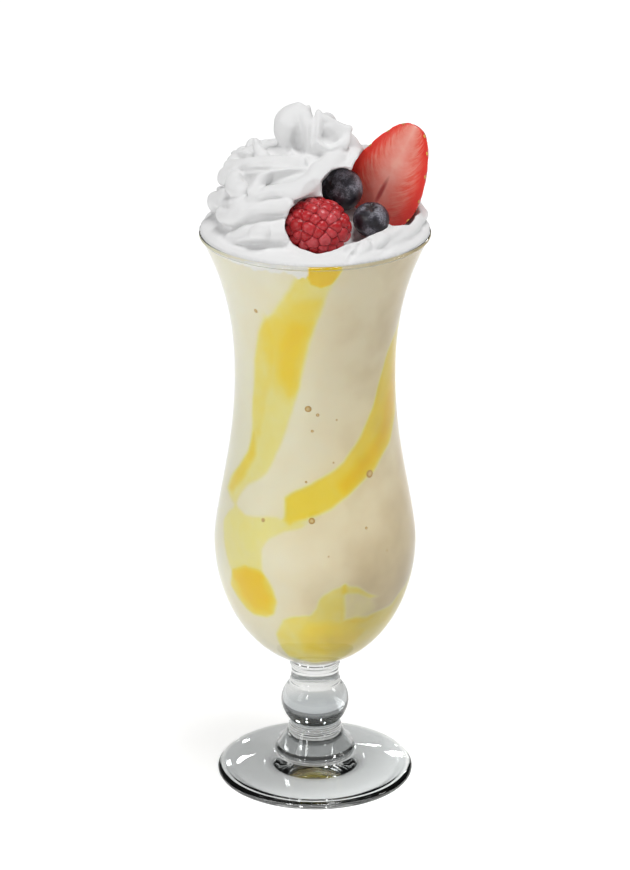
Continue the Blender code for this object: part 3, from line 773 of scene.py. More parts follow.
# Hollows pressed into the side that the viewer sees, in mm: middle across, middle up the
# picture plane, half width, half height, depth, and the lean of the long way in degrees.
# A depth below zero raises a ridge
hollows = (
    (-5.6, 221.8, 2.1, 3.7, 3.6, 10),
    (5.6, 224.2, 4.4, 3.6, 1.3, -22),
    (-2.4, 224.4, 0.8, 4.6, -0.8, 6),
    (1.0, 225.6, 0.8, 4.4, -0.8, -2),
    (2.6, 220.4, 2.6, 0.8, -0.9, -30),
    (7.4, 220.6, 3.0, 0.8, -0.8, 34),
    (-11.6, 208.4, 8.8, 3.2, 1.9, 3),
    (-17.2, 195.4, 7.6, 1.9, 1.2, 6),
    (-21.0, 186.0, 10.5, 1.7, 0.9, 5),
    (13.2, 182.4, 1.1, 5.2, 1.5, -34),
    (22.6, 182.2, 1.2, 4.4, 1.1, -52),
    (17.6, 180.2, 2.4, 2.6, -0.9, 0),
    (-25.0, 191.4, 4.6, 1.7, 2.0, 24),
    (-1.4, 205.7, 3.0, 1.8, 1.2, 40),
    (-22.2, 212.2, 6.5, 0.8, 1.0, 0),
)
sway = ((0.0210, 0.0005), (0.0120, 0.0002))
view_pitch = math.radians(21.5)
# How far each berry's hollow is drawn in or out in x, y and z, and how far it is moved
press_size = {
    "raspberry": ((0.965, 0.97, 0.96), (0.0, -0.0006, -0.0014)),
    "blueberry_upper": ((0.985, 0.985, 0.985), (0, 0, 0)),
    "blueberry_lower": ((0.985, 0.985, 0.985), (0, 0, 0)),
    "strawberry_half": ((0.90, 0.97, 0.985), (0.0008, 0, 0.0002)),
}
first_voxel = 0.00040
melt_steps = 7
fine_voxel = 0.00050
fine_steps = 2
crease_steps = 40
crease_depth = 0.62
# Waves of the soft surface: length and height of each size, drawn four times
lump_sizes = ((0.011, 0.00014), (0.006, 0.00007), (0.0034, 0.00003))
# How far the cream lies over the crest of the lip, and how near it is drawn to the glass
over_lip = 0.0007
lip_rise = 0.0004
lip_snap = 0.0011


def cream_centre(height):
    """Axis of the cone of cream at each height, which leans a little to the back."""
    rise = ((height - cream_base) / (cream_top - cream_base))[..., None]
    return centre_below * (1 - rise) + centre_above * rise


def through(stations, way):
    """A smooth curve through evenly spaced stations, by Catmull-Rom weights."""
    last = len(stations) - 1
    here = np.clip(way.astype(int), 0, last - 1)
    u = (way - here)[:, None]
    a, b, c, d = (stations[np.clip(here + k, 0, last)] for k in (-1, 0, 1, 2))
    return b + u * (c - a + u * (2 * a - 5 * b + 4 * c - d + u * (3 * (b - c) + d - a))) / 2


def rope_grid():
    """The wound rope: rows along it, columns round its star-shaped section.

    The section's radius is the half thickness less a groove, where the sine of the ribs'
    phase is small; the phase turns on along the rope and wavers a little, as piping does.
    """
    turn = np.linspace(rope_start, rope_end, rope_stations)[:, None]
    around = -np.arange(rope_sides) * (2 * np.pi / rope_sides)
    route = through(rope_route, ((turn - rope_start) * 2).ravel())
    reach, middle, thickness = (route[:, k : k + 1] for k in range(3))
    waver = 0.22 * np.sin(9.1 * turn + 1.0) + 0.16 * np.sin(17.3 * turn + np.sin(around))
    phase = rope_ribs * (around / 2 - np.pi * rope_twist * turn + waver * 0.5)
    rib = np.abs(np.sin(phase)) ** rib_roundness
    ends = np.minimum((turn - rope_start) / first_end_turns, (rope_end - turn) / last_end_turns)
    ending = np.sqrt(np.clip(ends, 0, 1))
    swell = 1 + 0.035 * np.sin(13.0 * turn) + 0.03 * np.sin(29.0 * turn + 2.0)
    away = np.abs(np.angle(np.exp(1j * (2 * np.pi * turn - fold_side[0]))))
    under_folds = np.exp(-((away / fold_side[1]) ** 4))
    depth = rib_depth * (1 - 0.7 * under_folds)
    radius = thickness * swell * (1 - depth * (1 - rib)) * ending
    out = reach - thickness + radius * np.cos(around)
    up = np.maximum(middle + radius * np.sin(around), cream_base)
    centre = cream_centre(up)
    angle = 2 * np.pi * turn
    out = out - fold_side[2] * under_folds
    return np.stack(
        [out * np.cos(angle) + centre[..., 0], out * np.sin(angle) + centre[..., 1], up], 2
    )


def core_outline():
    """The plain cone inside the rope, and the skirt that meets the lip of the glass."""
    wall_here = float(bowl_radius(np.array(cream_base))) - wall + into_wall
    return np.array(
        [
            (wall_here, cream_base),
            (wall_here + 0.0003, cream_base + 0.0005),
            (wall_here + 0.0018, cream_base + 0.0011),
            (wall_here + 0.0018, cream_base + 0.0020),
            (wall_here + 0.0001, cream_base + 0.0034),
            (wall_here - 0.0038, cream_base + 0.0054),
            (0.0090, 0.2370),
        ]
    )


def fold_grid(route):
    """One fold: circles along a smooth route, each of its half thickness, rounded at both ends.

    At an end the radius is the half thickness times the root of 1 - (1 - way / rounding)^2.
    """
    stations = np.array(route) / 1000
    last = len(stations) - 1
    way = np.linspace(0, last, 24 * last + 1)
    line = through(stations, way)
    ahead = np.gradient(line[:, :3], axis=0)
    ahead /= np.linalg.norm(ahead, axis=1)[:, None]
    side = np.cross(ahead, [0.25, 0.15, 0.96])
    side /= np.linalg.norm(side, axis=1)[:, None]
    up = np.cross(side, ahead)
    around = np.arange(40) * (2 * np.pi / 40)
    end = np.clip(np.minimum(way, last - way) / fold_rounding, 0, 1)
    thickness = line[:, 3] * np.sqrt(np.maximum(1 - (1 - end) ** 2, 0.01))
    spread = thickness[:, None, None] * np.stack([np.cos(around), np.sin(around)], 1)[None]
    return line[:, None, :3] + spread[..., :1] * up[:, None] + spread[..., 1:] * side[:, None]


def lip_reach(z):
    """How far out the cream may lie: just into the lip's inner round, then over its crest."""
    drop = np.clip(glass_height - z, 0, lip_radius)
    inner_round = np.sqrt(np.maximum(lip_radius**2 - (lip_radius - drop) ** 2, 0))
    over = np.clip((z - glass_height) / lip_rise, 0, 1) * over_lip
    return rim_radius - lip_radius - inner_round + into_wall + over


def inside_lip(grid):
    """The form kept above the drink and inside the wall, as cream that the glass holds."""
    x, y, z = (grid[..., k] for k in range(3))
    z = np.maximum(z, cream_base)
    share = np.minimum(lip_reach(z) / np.maximum(np.hypot(x, y), 1e-6), 1)
    return np.stack([x * share, y * share, z], -1)


def swayed(grid):
    """The form pushed about a little: slow sine waves in each direction, as soft cream sags."""
    x, y, z = (grid[..., k] for k in range(3))
    moved = grid.copy()
    held = np.clip((z - cream_base - 0.001) / 0.006, 0, 1)
    for k, (length, reach) in enumerate(sway):
        wave = 2 * np.pi / length
        moved[..., 0] += held * reach * np.sin(wave * (z * 1.3 + y * 0.7) + 1.7 * k)
        moved[..., 1] += held * reach * np.sin(wave * (x * 0.8 - z) + 0.9 + k)
        moved[..., 2] += held * reach * np.sin(wave * (x + y) * 0.8 + 2.1 + k)
    return moved


def get_points(mesh):
    """The mesh's points as rows of x, y and z."""
    values = np.empty(len(mesh.vertices) * 3)
    mesh.vertices.foreach_get("co", values)
    return values.reshape(-1, 3)


def berry_press(nodes, towards):
    """The way that berries took into the cream: the hull of their points swept outwards."""
    skins = []
    for node in nodes:
        size, shift = press_size[node]
        skin = get_points(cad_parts[node].data)
        middle = skin.mean(axis=0)
        skins.append(middle + (skin - middle) * np.array(size) + np.array(shift))
    skin = np.vstack(skins)
    shape = bmesh.new()
    for point in np.vstack([skin, skin + towards * 0.05]):
        shape.verts.new(point)
    bmesh.ops.convex_hull(shape, input=shape.verts[:])
    inside = [vert for vert in shape.verts if not vert.link_faces]
    bmesh.ops.delete(shape, geom=inside, context="VERTS")
    bmesh.ops.recalc_face_normals(shape, faces=shape.faces[:])
    mesh = bpy.data.meshes.new("press")
    shape.to_mesh(mesh)
    shape.free()
    return mesh


def scratch(mesh):
    """A helper object that is removed again."""
    made = bpy.data.objects.new("scratch", mesh)
    bpy.context.scene.collection.objects.link(made)
    return made


def remove(obj):
    """Deletes a helper object and its mesh."""
    mesh = obj.data
    bpy.data.objects.remove(obj, do_unlink=True)
    bpy.data.meshes.remove(mesh)


def evaluated(obj):
    """The mesh that an object's modifiers give."""
    graph = bpy.context.evaluated_depsgraph_get()
    return bpy.data.meshes.new_from_object(obj.evaluated_get(graph))


def voxel_fused(mesh, voxel, steps):
    """The mesh fused to one skin of even quads, and evened out over so many steps."""
    draft = scratch(mesh)
    fuse = draft.modifiers.new("Fuse", "REMESH")
    fuse.mode = "VOXEL"
    fuse.voxel_size = voxel
    melt = draft.modifiers.new("Melt", "SMOOTH")
    melt.factor = 0.5
    melt.iterations = steps
    made = evaluated(draft)
    remove(draft)
    return made


cone_rings = carried_round(core_outline(), 120)
forms = [swayed(rope_grid()), *(fold_grid(route) for route in folds)]
mesh = joined_grids("cream_forms", [inside_lip(form) for form in (cone_rings, *forms)])
mesh = voxel_fused(mesh, first_voxel, melt_steps)
cream_form = scratch(mesh)
towards_viewer = np.array([0.0, -math.cos(view_pitch), math.sin(view_pitch)])
presses = []
for nodes in (
    ("raspberry", "blueberry_lower"),
    ("blueberry_upper", "blueberry_lower"),
    ("strawberry_half",),
):
    press = scratch(berry_press(nodes, towards_viewer))
    cut = cream_form.modifiers.new("Hollow", "BOOLEAN")
    cut.operation = "DIFFERENCE"
    cut.solver = "MANIFOLD"
    cut.object = press
    presses.append(press)
mesh = evaluated(cream_form)
for helper in [cream_form, *presses]:
    remove(helper)
mesh = voxel_fused(mesh, fine_voxel, fine_steps)


def keep_largest(mesh):
    """Deletes every loose body of the mesh but the largest."""
    shape = bmesh.new()
    shape.from_mesh(mesh)
    shape.verts.ensure_lookup_table()
    count = len(shape.verts)
    parent = np.arange(count)
    edges = np.array([[e.verts[0].index, e.verts[1].index] for e in shape.edges])
    changed = True
    while changed:
        low = np.minimum(parent[edges[:, 0]], parent[edges[:, 1]])
        before = parent.copy()
        np.minimum.at(parent, edges[:, 0], low)
        np.minimum.at(parent, edges[:, 1], low)
        parent = parent[parent]
        changed = not np.array_equal(before, parent)
    names, sizes = np.unique(parent, return_counts=True)
    main = names[sizes.argmax()]
    loose = [shape.verts[i] for i in np.flatnonzero(parent != main)]
    bmesh.ops.delete(shape, geom=loose, context="VERTS")
    shape.to_mesh(mesh)
    shape.free()


def creased(mesh, points):
    """How far each point lies from a softened copy of the surface.

    The copy is softened by moving every point to the mean of its neighbours, many times.
    """
    edges = np.empty(len(mesh.edges) * 2, np.int64)
    mesh.edges.foreach_get("vertices", edges)
    first, second = edges.reshape(-1, 2).T
    beside = np.bincount(edges, minlength=len(points))
    soft = points.copy()
    for _ in range(crease_steps):
        for axis in range(3):
            total = np.bincount(first, soft[second, axis], len(points))
            total += np.bincount(second, soft[first, axis], len(points))
            soft[:, axis] = total / beside
    return points - soft


keep_largest(mesh)
mesh.shade_smooth()
points = get_points(mesh)
creases_here = creased(mesh, points)
normals = np.empty(len(points) * 3)
mesh.vertices.foreach_get("normal", normals)
normals = normals.reshape(-1, 3)
lumps = np.zeros(len(points))
draw = np.random.default_rng(7)
for size, height in lump_sizes:
    for _ in range(4):
        direction = draw.normal(size=3)
        direction /= np.linalg.norm(direction)
        lumps += height * np.sin(points @ direction * (2 * np.pi / size) + draw.uniform(0, 6.3))
above_rim = np.clip((points[:, 2] - glass_height - lip_rise) / 0.003, 0, 1)
# The creases are deepened, but not beside a berry, where the cream lies close against it
free = above_rim.copy()
for node in press_size:
    low, high = (np.array(corner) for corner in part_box(node))
    share = np.linalg.norm((points - (low + high) / 2) / ((high - low) / 2), axis=1)
    free *= np.clip((share - 1.1) / 0.3, 0, 1)
points += normals * (lumps * above_rim)[:, None]
points += creases_here * (crease_depth * free)[:, None]
# Each hollow moves the surface back along the line of sight by its depth times
# exp(-(distance from its middle in half sizes)^4), where the surface faces the viewer
facing = np.clip(normals @ towards_viewer * 3, 0, 1) * above_rim
up_picture = points @ np.array([0.0, math.sin(view_pitch), math.cos(view_pitch)])
for across, up, half_width, half_height, depth, lean in hollows:
    c, s = math.cos(math.radians(lean)), math.sin(math.radians(lean))
    dx, dz = points[:, 0] * 1000 - across, up_picture * 1000 - up
    share = np.hypot((dx * c + dz * s) / half_width, (dz * c - dx * s) / half_height)
    points -= towards_viewer * (depth / 1000 * np.exp(-(share**4)) * facing)[:, None]
# Near the lip the skin is drawn out against the glass, so that no air lies between
out = np.hypot(points[:, 0], points[:, 1])
reach = lip_reach(points[:, 2])
close = (reach - out < lip_snap) & (points[:, 2] < glass_height + lip_rise)
points[close, :2] *= (reach / out)[close, None]
mesh.vertices.foreach_set("co", points.ravel())

cream_skin, tree = new_tree("whipped_cream")
spot = add(tree, "TexCoord", {}).outputs["Object"]
foam = noise(tree, 2600.0, 2.0, 0.5, spot)
creases = noise(tree, 420.0, 4.0, 0.6, spot)
fine = add(tree, "Bump", {"Strength": 0.10, "Distance": 0.0002, "Height": foam})
soft = add(
    tree, "Bump",
    {"Strength": 0.12, "Distance": 0.0004, "Height": creases, "Normal": fine.outputs[0]},
)
cream_colour = ramp(tree, creases, (0.3, "F6F6F5"), (0.7, "FBFBFA"))
cream_shader = add(
    tree, "BsdfPrincipled",
    {
        "Base Color": cream_colour, "Roughness": 0.55, "Specular IOR Level": 0.35,
        "Subsurface Weight": 0.35, "Subsurface Radius": (1.0, 0.95, 0.9),
        "Subsurface Scale": 0.0012, "Normal": soft.outputs[0],
    },
)
finish_tree(tree, cream_shader)
cream = piece("whipped_cream_swirl", mesh, cream_skin)
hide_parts("whipped_cream")


# Raspberry: a blunt cone of round drupelets, laid with its tip to the viewer and pressed
# into the cream. The drupelets are full and shiny; the dark red in the seams is partly the
# berry's own deeper red and partly painted shade.
raspberry_place = np.array([0.0006, -0.0216, 0.2148])
raspberry_size = np.array([0.0114, 0.0096, 0.0102])
raspberry_turn = (math.radians(139), math.radians(8), math.radians(4))
raspberry_taper = 0.10
drupelets = 92
drupelet_width = 0.00200
drupelet_height = 0.0012
drupelet_scatter = 0.075
drupelet_unevenness = 0.00042
raspberry_rows = 200
raspberry_columns = 300


def turned_by(points, angles):
    """Points turned about x, then y, then z by the three angles."""
    for axis, angle in enumerate(angles):
        first, second = [(1, 2), (2, 0), (0, 1)][axis]
        turned = points.copy()
        cosine, sine = math.cos(angle), math.sin(angle)
        turned[..., first] = points[..., first] * cosine - points[..., second] * sine
        turned[..., second] = points[..., first] * sine + points[..., second] * cosine
        points = turned
    return points


def sphere_directions(rows, columns):
    """Unit directions on rings from near the south pole up to near the north pole."""
    tilt = np.linspace(-np.pi / 2, np.pi / 2, rows + 2)[1:-1, None]
    turn = np.arange(columns) * (2 * np.pi / columns)
    flat = np.ones(columns)
    return np.stack(
        [np.cos(tilt) * np.cos(turn), np.cos(tilt) * np.sin(turn), np.sin(tilt) * flat], 2
    )


def raspberry_form(directions):
    """Distance from the middle to the skin: an ellipsoid that narrows towards the tip."""
    stretched = np.linalg.norm(directions / raspberry_size, axis=-1)
    taper = 1 - raspberry_taper * np.maximum(directions[..., 2], 0)
    return taper / stretched


draw = np.random.default_rng(21)
golden = np.pi * (3 - math.sqrt(5))
order = np.arange(drupelets)
axis_share = 1 - (2 * order + 1) / drupelets
flat = np.sqrt(1 - axis_share**2)
bead_directions = np.stack(
    [flat * np.cos(golden * order), flat * np.sin(golden * order), axis_share], 1
)
bead_directions += draw.normal(size=bead_directions.shape) * drupelet_scatter
bead_directions /= np.linalg.norm(bead_directions, axis=1)[:, None]
bead_centres = bead_directions * raspberry_form(bead_directions)[:, None]
directions = sphere_directions(raspberry_rows, raspberry_columns)
poles = np.array([[0, 0, -1.0], [0, 0, 1.0]])
every_direction = np.vstack([directions.reshape(-1, 3), poles])
skin = every_direction * raspberry_form(every_direction)[:, None]
distance = np.linalg.norm(skin[:, None, :] - bead_centres[None], axis=2)
distance = distance + draw.uniform(-drupelet_unevenness, drupelet_unevenness, drupelets)
nearest = np.sort(distance, axis=1)[:, :2]
bead_of = distance.argmin(axis=1)
seam = (nearest[:, 1] - nearest[:, 0]) / drupelet_width
dome = np.sqrt(np.clip(1 - (np.maximum(nearest[:, 0], 0) / (drupelet_width * 1.15)) ** 2, 0, 1))
rounding = 1 - np.exp(-seam * 3.2)
rise = drupelet_height * (dome * 0.75 + rounding * 0.45 - 0.55)
skin = skin + every_direction * rise[:, None]
skin = turned_by(skin, raspberry_turn) + raspberry_place
rings = skin[:-2].reshape(*directions.shape)
mesh = ring_mesh("red_raspberry", rings, skin[-2], skin[-1])
store(mesh, "seam", np.clip(seam, 0, 1))
store(mesh, "bead", draw.uniform(0, 1, drupelets)[bead_of])

raspberry_skin, tree = new_tree("red_raspberry")
spot = add(tree, "TexCoord", {}).outputs["Object"]
mottle = stretch(tree, noise(tree, 700.0, 3.0, 0.5, spot), 0.3, 0.7, -0.2, 0.2)
shade = calculated(tree, "ADD", read(tree, "bead"), mottle)
bead_colour = ramp(tree, shade, (0.0, "A8141A"), (0.5, "B61E26"), (1.0, "C84A50"))
# Dark red in the seams between drupelets: partly the berry's deeper red, partly painted shade
in_seam = stretch(tree, read(tree, "seam"), 0.0, 0.20, 0.0, 1.0)
raspberry_colour = mix_colour(tree, in_seam, linear("8A121E"), bead_colour)
pores = add(
    tree, "Bump",
    {"Strength": 0.15, "Distance": 0.0001, "Height": noise(tree, 3200.0, 2.0, 0.5, spot)},
)
raspberry_shader = add(
    tree, "BsdfPrincipled",
    {
        "Base Color": raspberry_colour, "Roughness": 0.33, "Subsurface Weight": 0.20,
        "Subsurface Radius": (1.0, 0.25, 0.2), "Subsurface Scale": 0.0012,
        "Normal": pores.outputs[0],
    },
)
finish_tree(tree, raspberry_shader)
raspberry = piece("red_raspberry", mesh, raspberry_skin)
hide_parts("raspberry")


# Blueberries: dark round berries with a pale waxy bloom, rubbed off in places, and a
# five-pointed crown left by the flower round a small pit.
crown_points = 5
crown_reach = 0.42
blueberry_flatness = 0.94
blueberry_rows = 90
blueberry_columns = 128


def blueberry_grid(radius, facing):
    """A berry with its crown towards facing, and the crown's height at each point.

    The ball is a little flat from the crown to the stalk. Near the crown the radius
    drops into a pit, and round it rises to a rim whose height waves five times.
    """
    directions = sphere_directions(blueberry_rows, blueberry_columns)
    every = np.vstack([directions.reshape(-1, 3), poles])
    off_pole = np.arccos(np.clip(every[:, 2], -1, 1))
    turn = np.arctan2(every[:, 1], every[:, 0])
    points_out = 0.5 + 0.5 * np.cos(crown_points * turn)
    ring_at = crown_reach * (0.62 + 0.38 * points_out)
    rim = np.exp(-(((off_pole - ring_at) / 0.075) ** 2)) * (0.35 + 0.65 * points_out)
    pit = 1 / (1 + np.exp((off_pole - ring_at) / 0.035))
    dimple = 0.05 * np.exp(-((off_pole / 0.6) ** 2))
    x, y, z = every.T
    dents = 0.006 * np.sin(3 * x + 2) * np.sin(4 * y + 1) * np.sin(3 * z)
    swell = 1 - dimple + 0.055 * rim - 0.10 * pit + dents
    skin = every * (radius * swell)[:, None] * np.array([1, 1, blueberry_flatness])
    up = np.array(facing) / np.linalg.norm(facing)
    side = np.cross([0.0, 1.0, 0.0], up)
    side /= np.linalg.norm(side)
    skin = skin @ np.array([side, np.cross(up, side), up])
    return skin, directions.shape, rim, pit


blueberry_skin, tree = new_tree("dark_blueberry")
spot = add(tree, "TexCoord", {}).outputs["Object"]
wax = stretch(tree, noise(tree, 210.0, 3.0, 0.6, spot), 0.34, 0.62, 0.0, 1.0)
specks = noise(tree, 1900.0, 3.0, 0.6, spot)
bloom = stretch(tree, calculated(tree, "MULTIPLY", wax, specks), 0.0, 0.6, 0.0, 1.0)
berry_colour = ramp(tree, bloom, (0.0, "16131A"), (0.45, "34323B"), (1.0, "86858F"))
berry_colour = mix_colour(tree, read(tree, "pit"), berry_colour, linear("1E1216"))
pores = add(tree, "Bump", {"Strength": 0.2, "Distance": 0.0001, "Height": specks})
rough = stretch(tree, bloom, 0.0, 1.0, 0.32, 0.6)
blueberry_shader = add(
    tree, "BsdfPrincipled",
    {"Base Color": berry_colour, "Roughness": rough, "Normal": pores.outputs[0]},
)
finish_tree(tree, blueberry_shader)
for node, facing in (
    ("blueberry_upper", (-0.75, -0.55, 0.38)),
    ("blueberry_lower", (-0.05, -0.35, 0.93)),
):
    low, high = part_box(node)
    middle = np.array((low + high) / 2)
    radius = (high.x - low.x) / 2
    skin, shape, rim, pit = blueberry_grid(radius, facing)
    skin = skin + middle
    mesh = ring_mesh("dark_" + node, skin[:-2].reshape(*shape), skin[-2], skin[-1])
    store(mesh, "pit", pit)
    berry = piece("dark_" + node, mesh, blueberry_skin)
    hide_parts(node)


# Strawberry: half of one, cut from the stalk to the tip, which points up. The cut face
# is turned to the viewer: pale in the middle, with pale fibres running out to the seeds.
strawberry_place = np.array([0.0263, -0.0005, 0.2278])
strawberry_turn = (math.radians(-9), math.radians(25), math.radians(-20))
strawberry_length = 0.0376
strawberry_width = 0.0256
strawberry_depth = 0.0120
strawberry_taper = 0.34
strawberry_bluntness = 0.66
cut_round = 0.06
face_bulge = 0.0006
seed_rows = 11
seed_spacing = 0.0042
pit_depth = 0.00045
pit_size = 0.0011


def strawberry_half_width(angle):
    """Half width of the berry: a power of a sine, wider at the stalk than at the tip."""
    return strawberry_width / 2 * np.sin(angle) ** strawberry_bluntness * (
        1 + strawberry_taper * np.cos(angle)
    )


def on_skin(angle, turn):
    """A point on the rounded back: half an ellipse round each height's section."""
    half = strawberry_half_width(angle)
    return np.stack(
        [
            half * np.cos(turn),
            half * (strawberry_depth * 2 / strawberry_width) * np.sin(turn),
            -strawberry_length / 2 * np.cos(angle) * np.ones_like(turn),
        ],
        -1,
    )


def seed_spots():
    """Where the seeds sit: rows up the skin, every other row moved on by half a step."""
    spots = []
    for row in range(seed_rows):
        angle = np.pi * (0.10 + 0.82 * (row + 0.5) / seed_rows)
        around = max(int(round(strawberry_half_width(angle) * np.pi / seed_spacing)), 2)
        for k in range(around + 1):
            turn = np.pi * (k + 0.5 * (row % 2)) / around
            if turn <= np.pi:
                spots.append((angle, turn))
    return np.array(spots)


strawberry_rows = 170
skin_columns = 150
face_columns = 110
angle = np.linspace(0, np.pi, strawberry_rows + 2)[1:-1, None]
skin_turn = np.linspace(0, np.pi, skin_columns)
back = on_skin(angle * np.ones(skin_columns), np.ones_like(angle) * skin_turn)
across = np.cos(np.linspace(np.pi, 2 * np.pi, face_columns + 2)[1:-1]) * (1 - cut_round * 0.2)
half = strawberry_half_width(angle)
bulge = face_bulge * (1 - across**2) * np.sin(angle) ** 0.5
front = np.stack(
    [half * across, -bulge, -strawberry_length / 2 * np.cos(angle) * np.ones(face_columns)], 2
)
grid = np.concatenate([back, front], axis=1)
spots = seed_spots()
seed_points = on_skin(spots[:, 0], spots[:, 1])
flat_grid = grid.reshape(-1, 3)
away = np.full(len(flat_grid), 1.0)
for seed_point in seed_points:
    away = np.minimum(away, np.linalg.norm(flat_grid - seed_point, axis=1))
pit = np.exp(-((away / pit_size) ** 2))
middle_line = flat_grid * np.array([0, 0, 1.0])
outward = flat_grid - middle_line
outward /= np.maximum(np.linalg.norm(outward, axis=1), 1e-6)[:, None]
flat_grid = flat_grid - outward * (pit_depth * pit)[:, None]
columns = skin_columns + face_columns
on_face = np.zeros((strawberry_rows, columns))
on_face[:, skin_columns:] = 1
side_share = np.zeros((strawberry_rows, columns))
side_share[:, :skin_columns] = np.cos(skin_turn)
side_share[:, skin_columns:] = across
along_share = (angle / np.pi) * np.ones(columns)
poles_here = np.array([[0, 0, -strawberry_length / 2], [0, 0, strawberry_length / 2]])
local = np.vstack([flat_grid, poles_here])
placed = turned_by(local, strawberry_turn) + strawberry_place
rings = placed[:-2].reshape(strawberry_rows, columns, 3)
mesh = ring_mesh("strawberry_half", rings, placed[-2], placed[-1])
for name, values, ends in (
    ("cut", on_face, (0.5, 0.5)),
    ("across", side_share, (0.0, 0.0)),
    ("along", along_share, (0.0, 1.0)),
    ("pit", pit.reshape(on_face.shape), (0.0, 0.0)),
):
    store(mesh, name, np.concatenate([values.ravel(), ends]))

strawberry_skin, tree = new_tree("strawberry_half")
spot = add(tree, "TexCoord", {}).outputs["Object"]
across_here = read(tree, "across")
along_here = read(tree, "along")
out_here = calculated(tree, "ABSOLUTE", across_here)
# The fibres run outwards and curve down: level lines of along - 0.22 x across squared
lean = calculated(tree, "MULTIPLY", out_here, out_here)
fibre_at = calculated(tree, "MULTIPLY_ADD", lean, -0.22, along_here)
fibre_across = calculated(tree, "MULTIPLY", across_here, 0.06)
fibre_spot = add(tree, "CombineXYZ", {0: fibre_at, 1: fibre_across})
fibres = noise(tree, 46.0, 3.0, 0.6, fibre_spot.outputs[0])
fibres = stretch(tree, fibres, 0.42, 0.66, 0.0, 1.0)
cloud = noise(tree, 240.0, 3.0, 0.6, spot)
from_middle = calculated(tree, "ADD", out_here, stretch(tree, cloud, 0.3, 0.7, -0.12, 0.12))
flesh = ramp(
    tree, from_middle,
    (0.0, "F0A696"), (0.28, "EC8A7A"), (0.52, "E86854"), (0.72, "E8442E"), (0.88, "E42C18"),
)
fibre_strength = stretch(tree, out_here, 0.12, 0.45, 0.0, 0.5)
fade_at_rim = stretch(tree, out_here, 0.62, 0.86, 1.0, 0.0)
fibre_cover = calculated(tree, "MULTIPLY", fibres, fibre_strength)
fibre_cover = calculated(tree, "MULTIPLY", fibre_cover, fade_at_rim)
flesh = mix_colour(tree, fibre_cover, flesh, linear("F4AE9E"))
# Painted shadow: the lower part of the cut face is darkened, as the blueberries' shadow falls there
painted_shadow_low = stretch(tree, along_here, 0.12, 0.55, 0.85, 0.0)
flesh = mix_colour(tree, painted_shadow_low, flesh, linear("B42A28"))
# Painted shade: a dark slit in the middle of the face, for the shade in a split of the flesh: an
# ellipse across = 0, along = 3.3 / 9
slit_x = calculated(tree, "MULTIPLY", across_here, 14.0)
slit_z = calculated(tree, "MULTIPLY_ADD", along_here, 9.0, -3.3)
slit_vector = add(tree, "CombineXYZ", {0: slit_x, 1: slit_z})
slit_away = add(tree, "VectorMath", {0: slit_vector.outputs[0]}, operation="LENGTH")
slit_shade = stretch(tree, slit_away.outputs["Value"], 0.4, 1.1, 0.85, 0.0)
flesh = mix_colour(tree, slit_shade, flesh, linear("9A2024"))
skin_red = ramp(tree, cloud, (0.3, "CC1A14"), (0.7, "E03020"))
# Darker red in the seed pits: partly the skin's own deeper red, partly painted shade in the hollows
skin_red = mix_colour(tree, read(tree, "pit"), skin_red, linear("8E0E12"))
is_cut = stretch(tree, read(tree, "cut"), 0.4, 0.6, 0.0, 1.0)
strawberry_colour = mix_colour(tree, is_cut, skin_red, flesh)
grain = add(
    tree, "Bump",
    {"Strength": 0.35, "Distance": 0.0002, "Height": noise(tree, 1500.0, 3.0, 0.6, spot)},
)
strawberry_shader = add(
    tree, "BsdfPrincipled",
    {
        "Base Color": strawberry_colour, "Roughness": 0.38, "Subsurface Weight": 0.25,
        "Subsurface Radius": (1.0, 0.3, 0.25), "Subsurface Scale": 0.0015,
        "Normal": grain.outputs[0],
    },
)
finish_tree(tree, strawberry_shader)
strawberry = piece("strawberry_cut_half", mesh, strawberry_skin)
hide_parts("strawberry_half")


# Strawberry seeds: small hard drops of yellow and brown, one grown into each pit of the
# skin on the rounded back, with its long way towards the berry's tip.
seed_length = 0.0013
seed_width = 0.0008
seed_height = 0.0005


def seed_grid(angle, turn):
    """One seed: a small ellipsoid laid on the skin, its long way towards the tip."""
    here = on_skin(angle, turn)
    tipward = on_skin(angle + 0.02, turn) - here
    tipward /= np.linalg.norm(tipward)
    outward = here * np.array([1.0, 1.6, 0.0])
    outward -= tipward * (outward @ tipward)
    outward /= np.linalg.norm(outward)
    beside = np.cross(outward, tipward)
    directions = sphere_directions(6, 10)
    grid = (
        directions[..., 2:] * tipward * seed_length / 2
        + directions[..., :1] * beside * seed_width / 2
        + directions[..., 1:2] * outward * seed_height / 2
    )
    return grid + here - outward * pit_depth * 0.75


grids = [
    turned_by(seed_grid(angle, turn), strawberry_turn) + strawberry_place
    for angle, turn in spots
]
mesh = joined_grids("strawberry_seeds", grids)
shape = bmesh.new()
shape.from_mesh(mesh)
bmesh.ops.recalc_face_normals(shape, faces=shape.faces[:])
shape.to_mesh(mesh)
shape.free()
seed_skin, tree = new_tree("strawberry_seeds")
spot = add(tree, "TexCoord", {}).outputs["Object"]
seed_colour = ramp(tree, noise(tree, 260.0, 1.0, 0.5, spot), (0.35, "B98A3A"), (0.65, "E6C24E"))
seed_shader = add(tree, "BsdfPrincipled", {"Base Color": seed_colour, "Roughness": 0.4})
finish_tree(tree, seed_shader)
seeds = piece("strawberry_seeds", mesh, seed_skin)


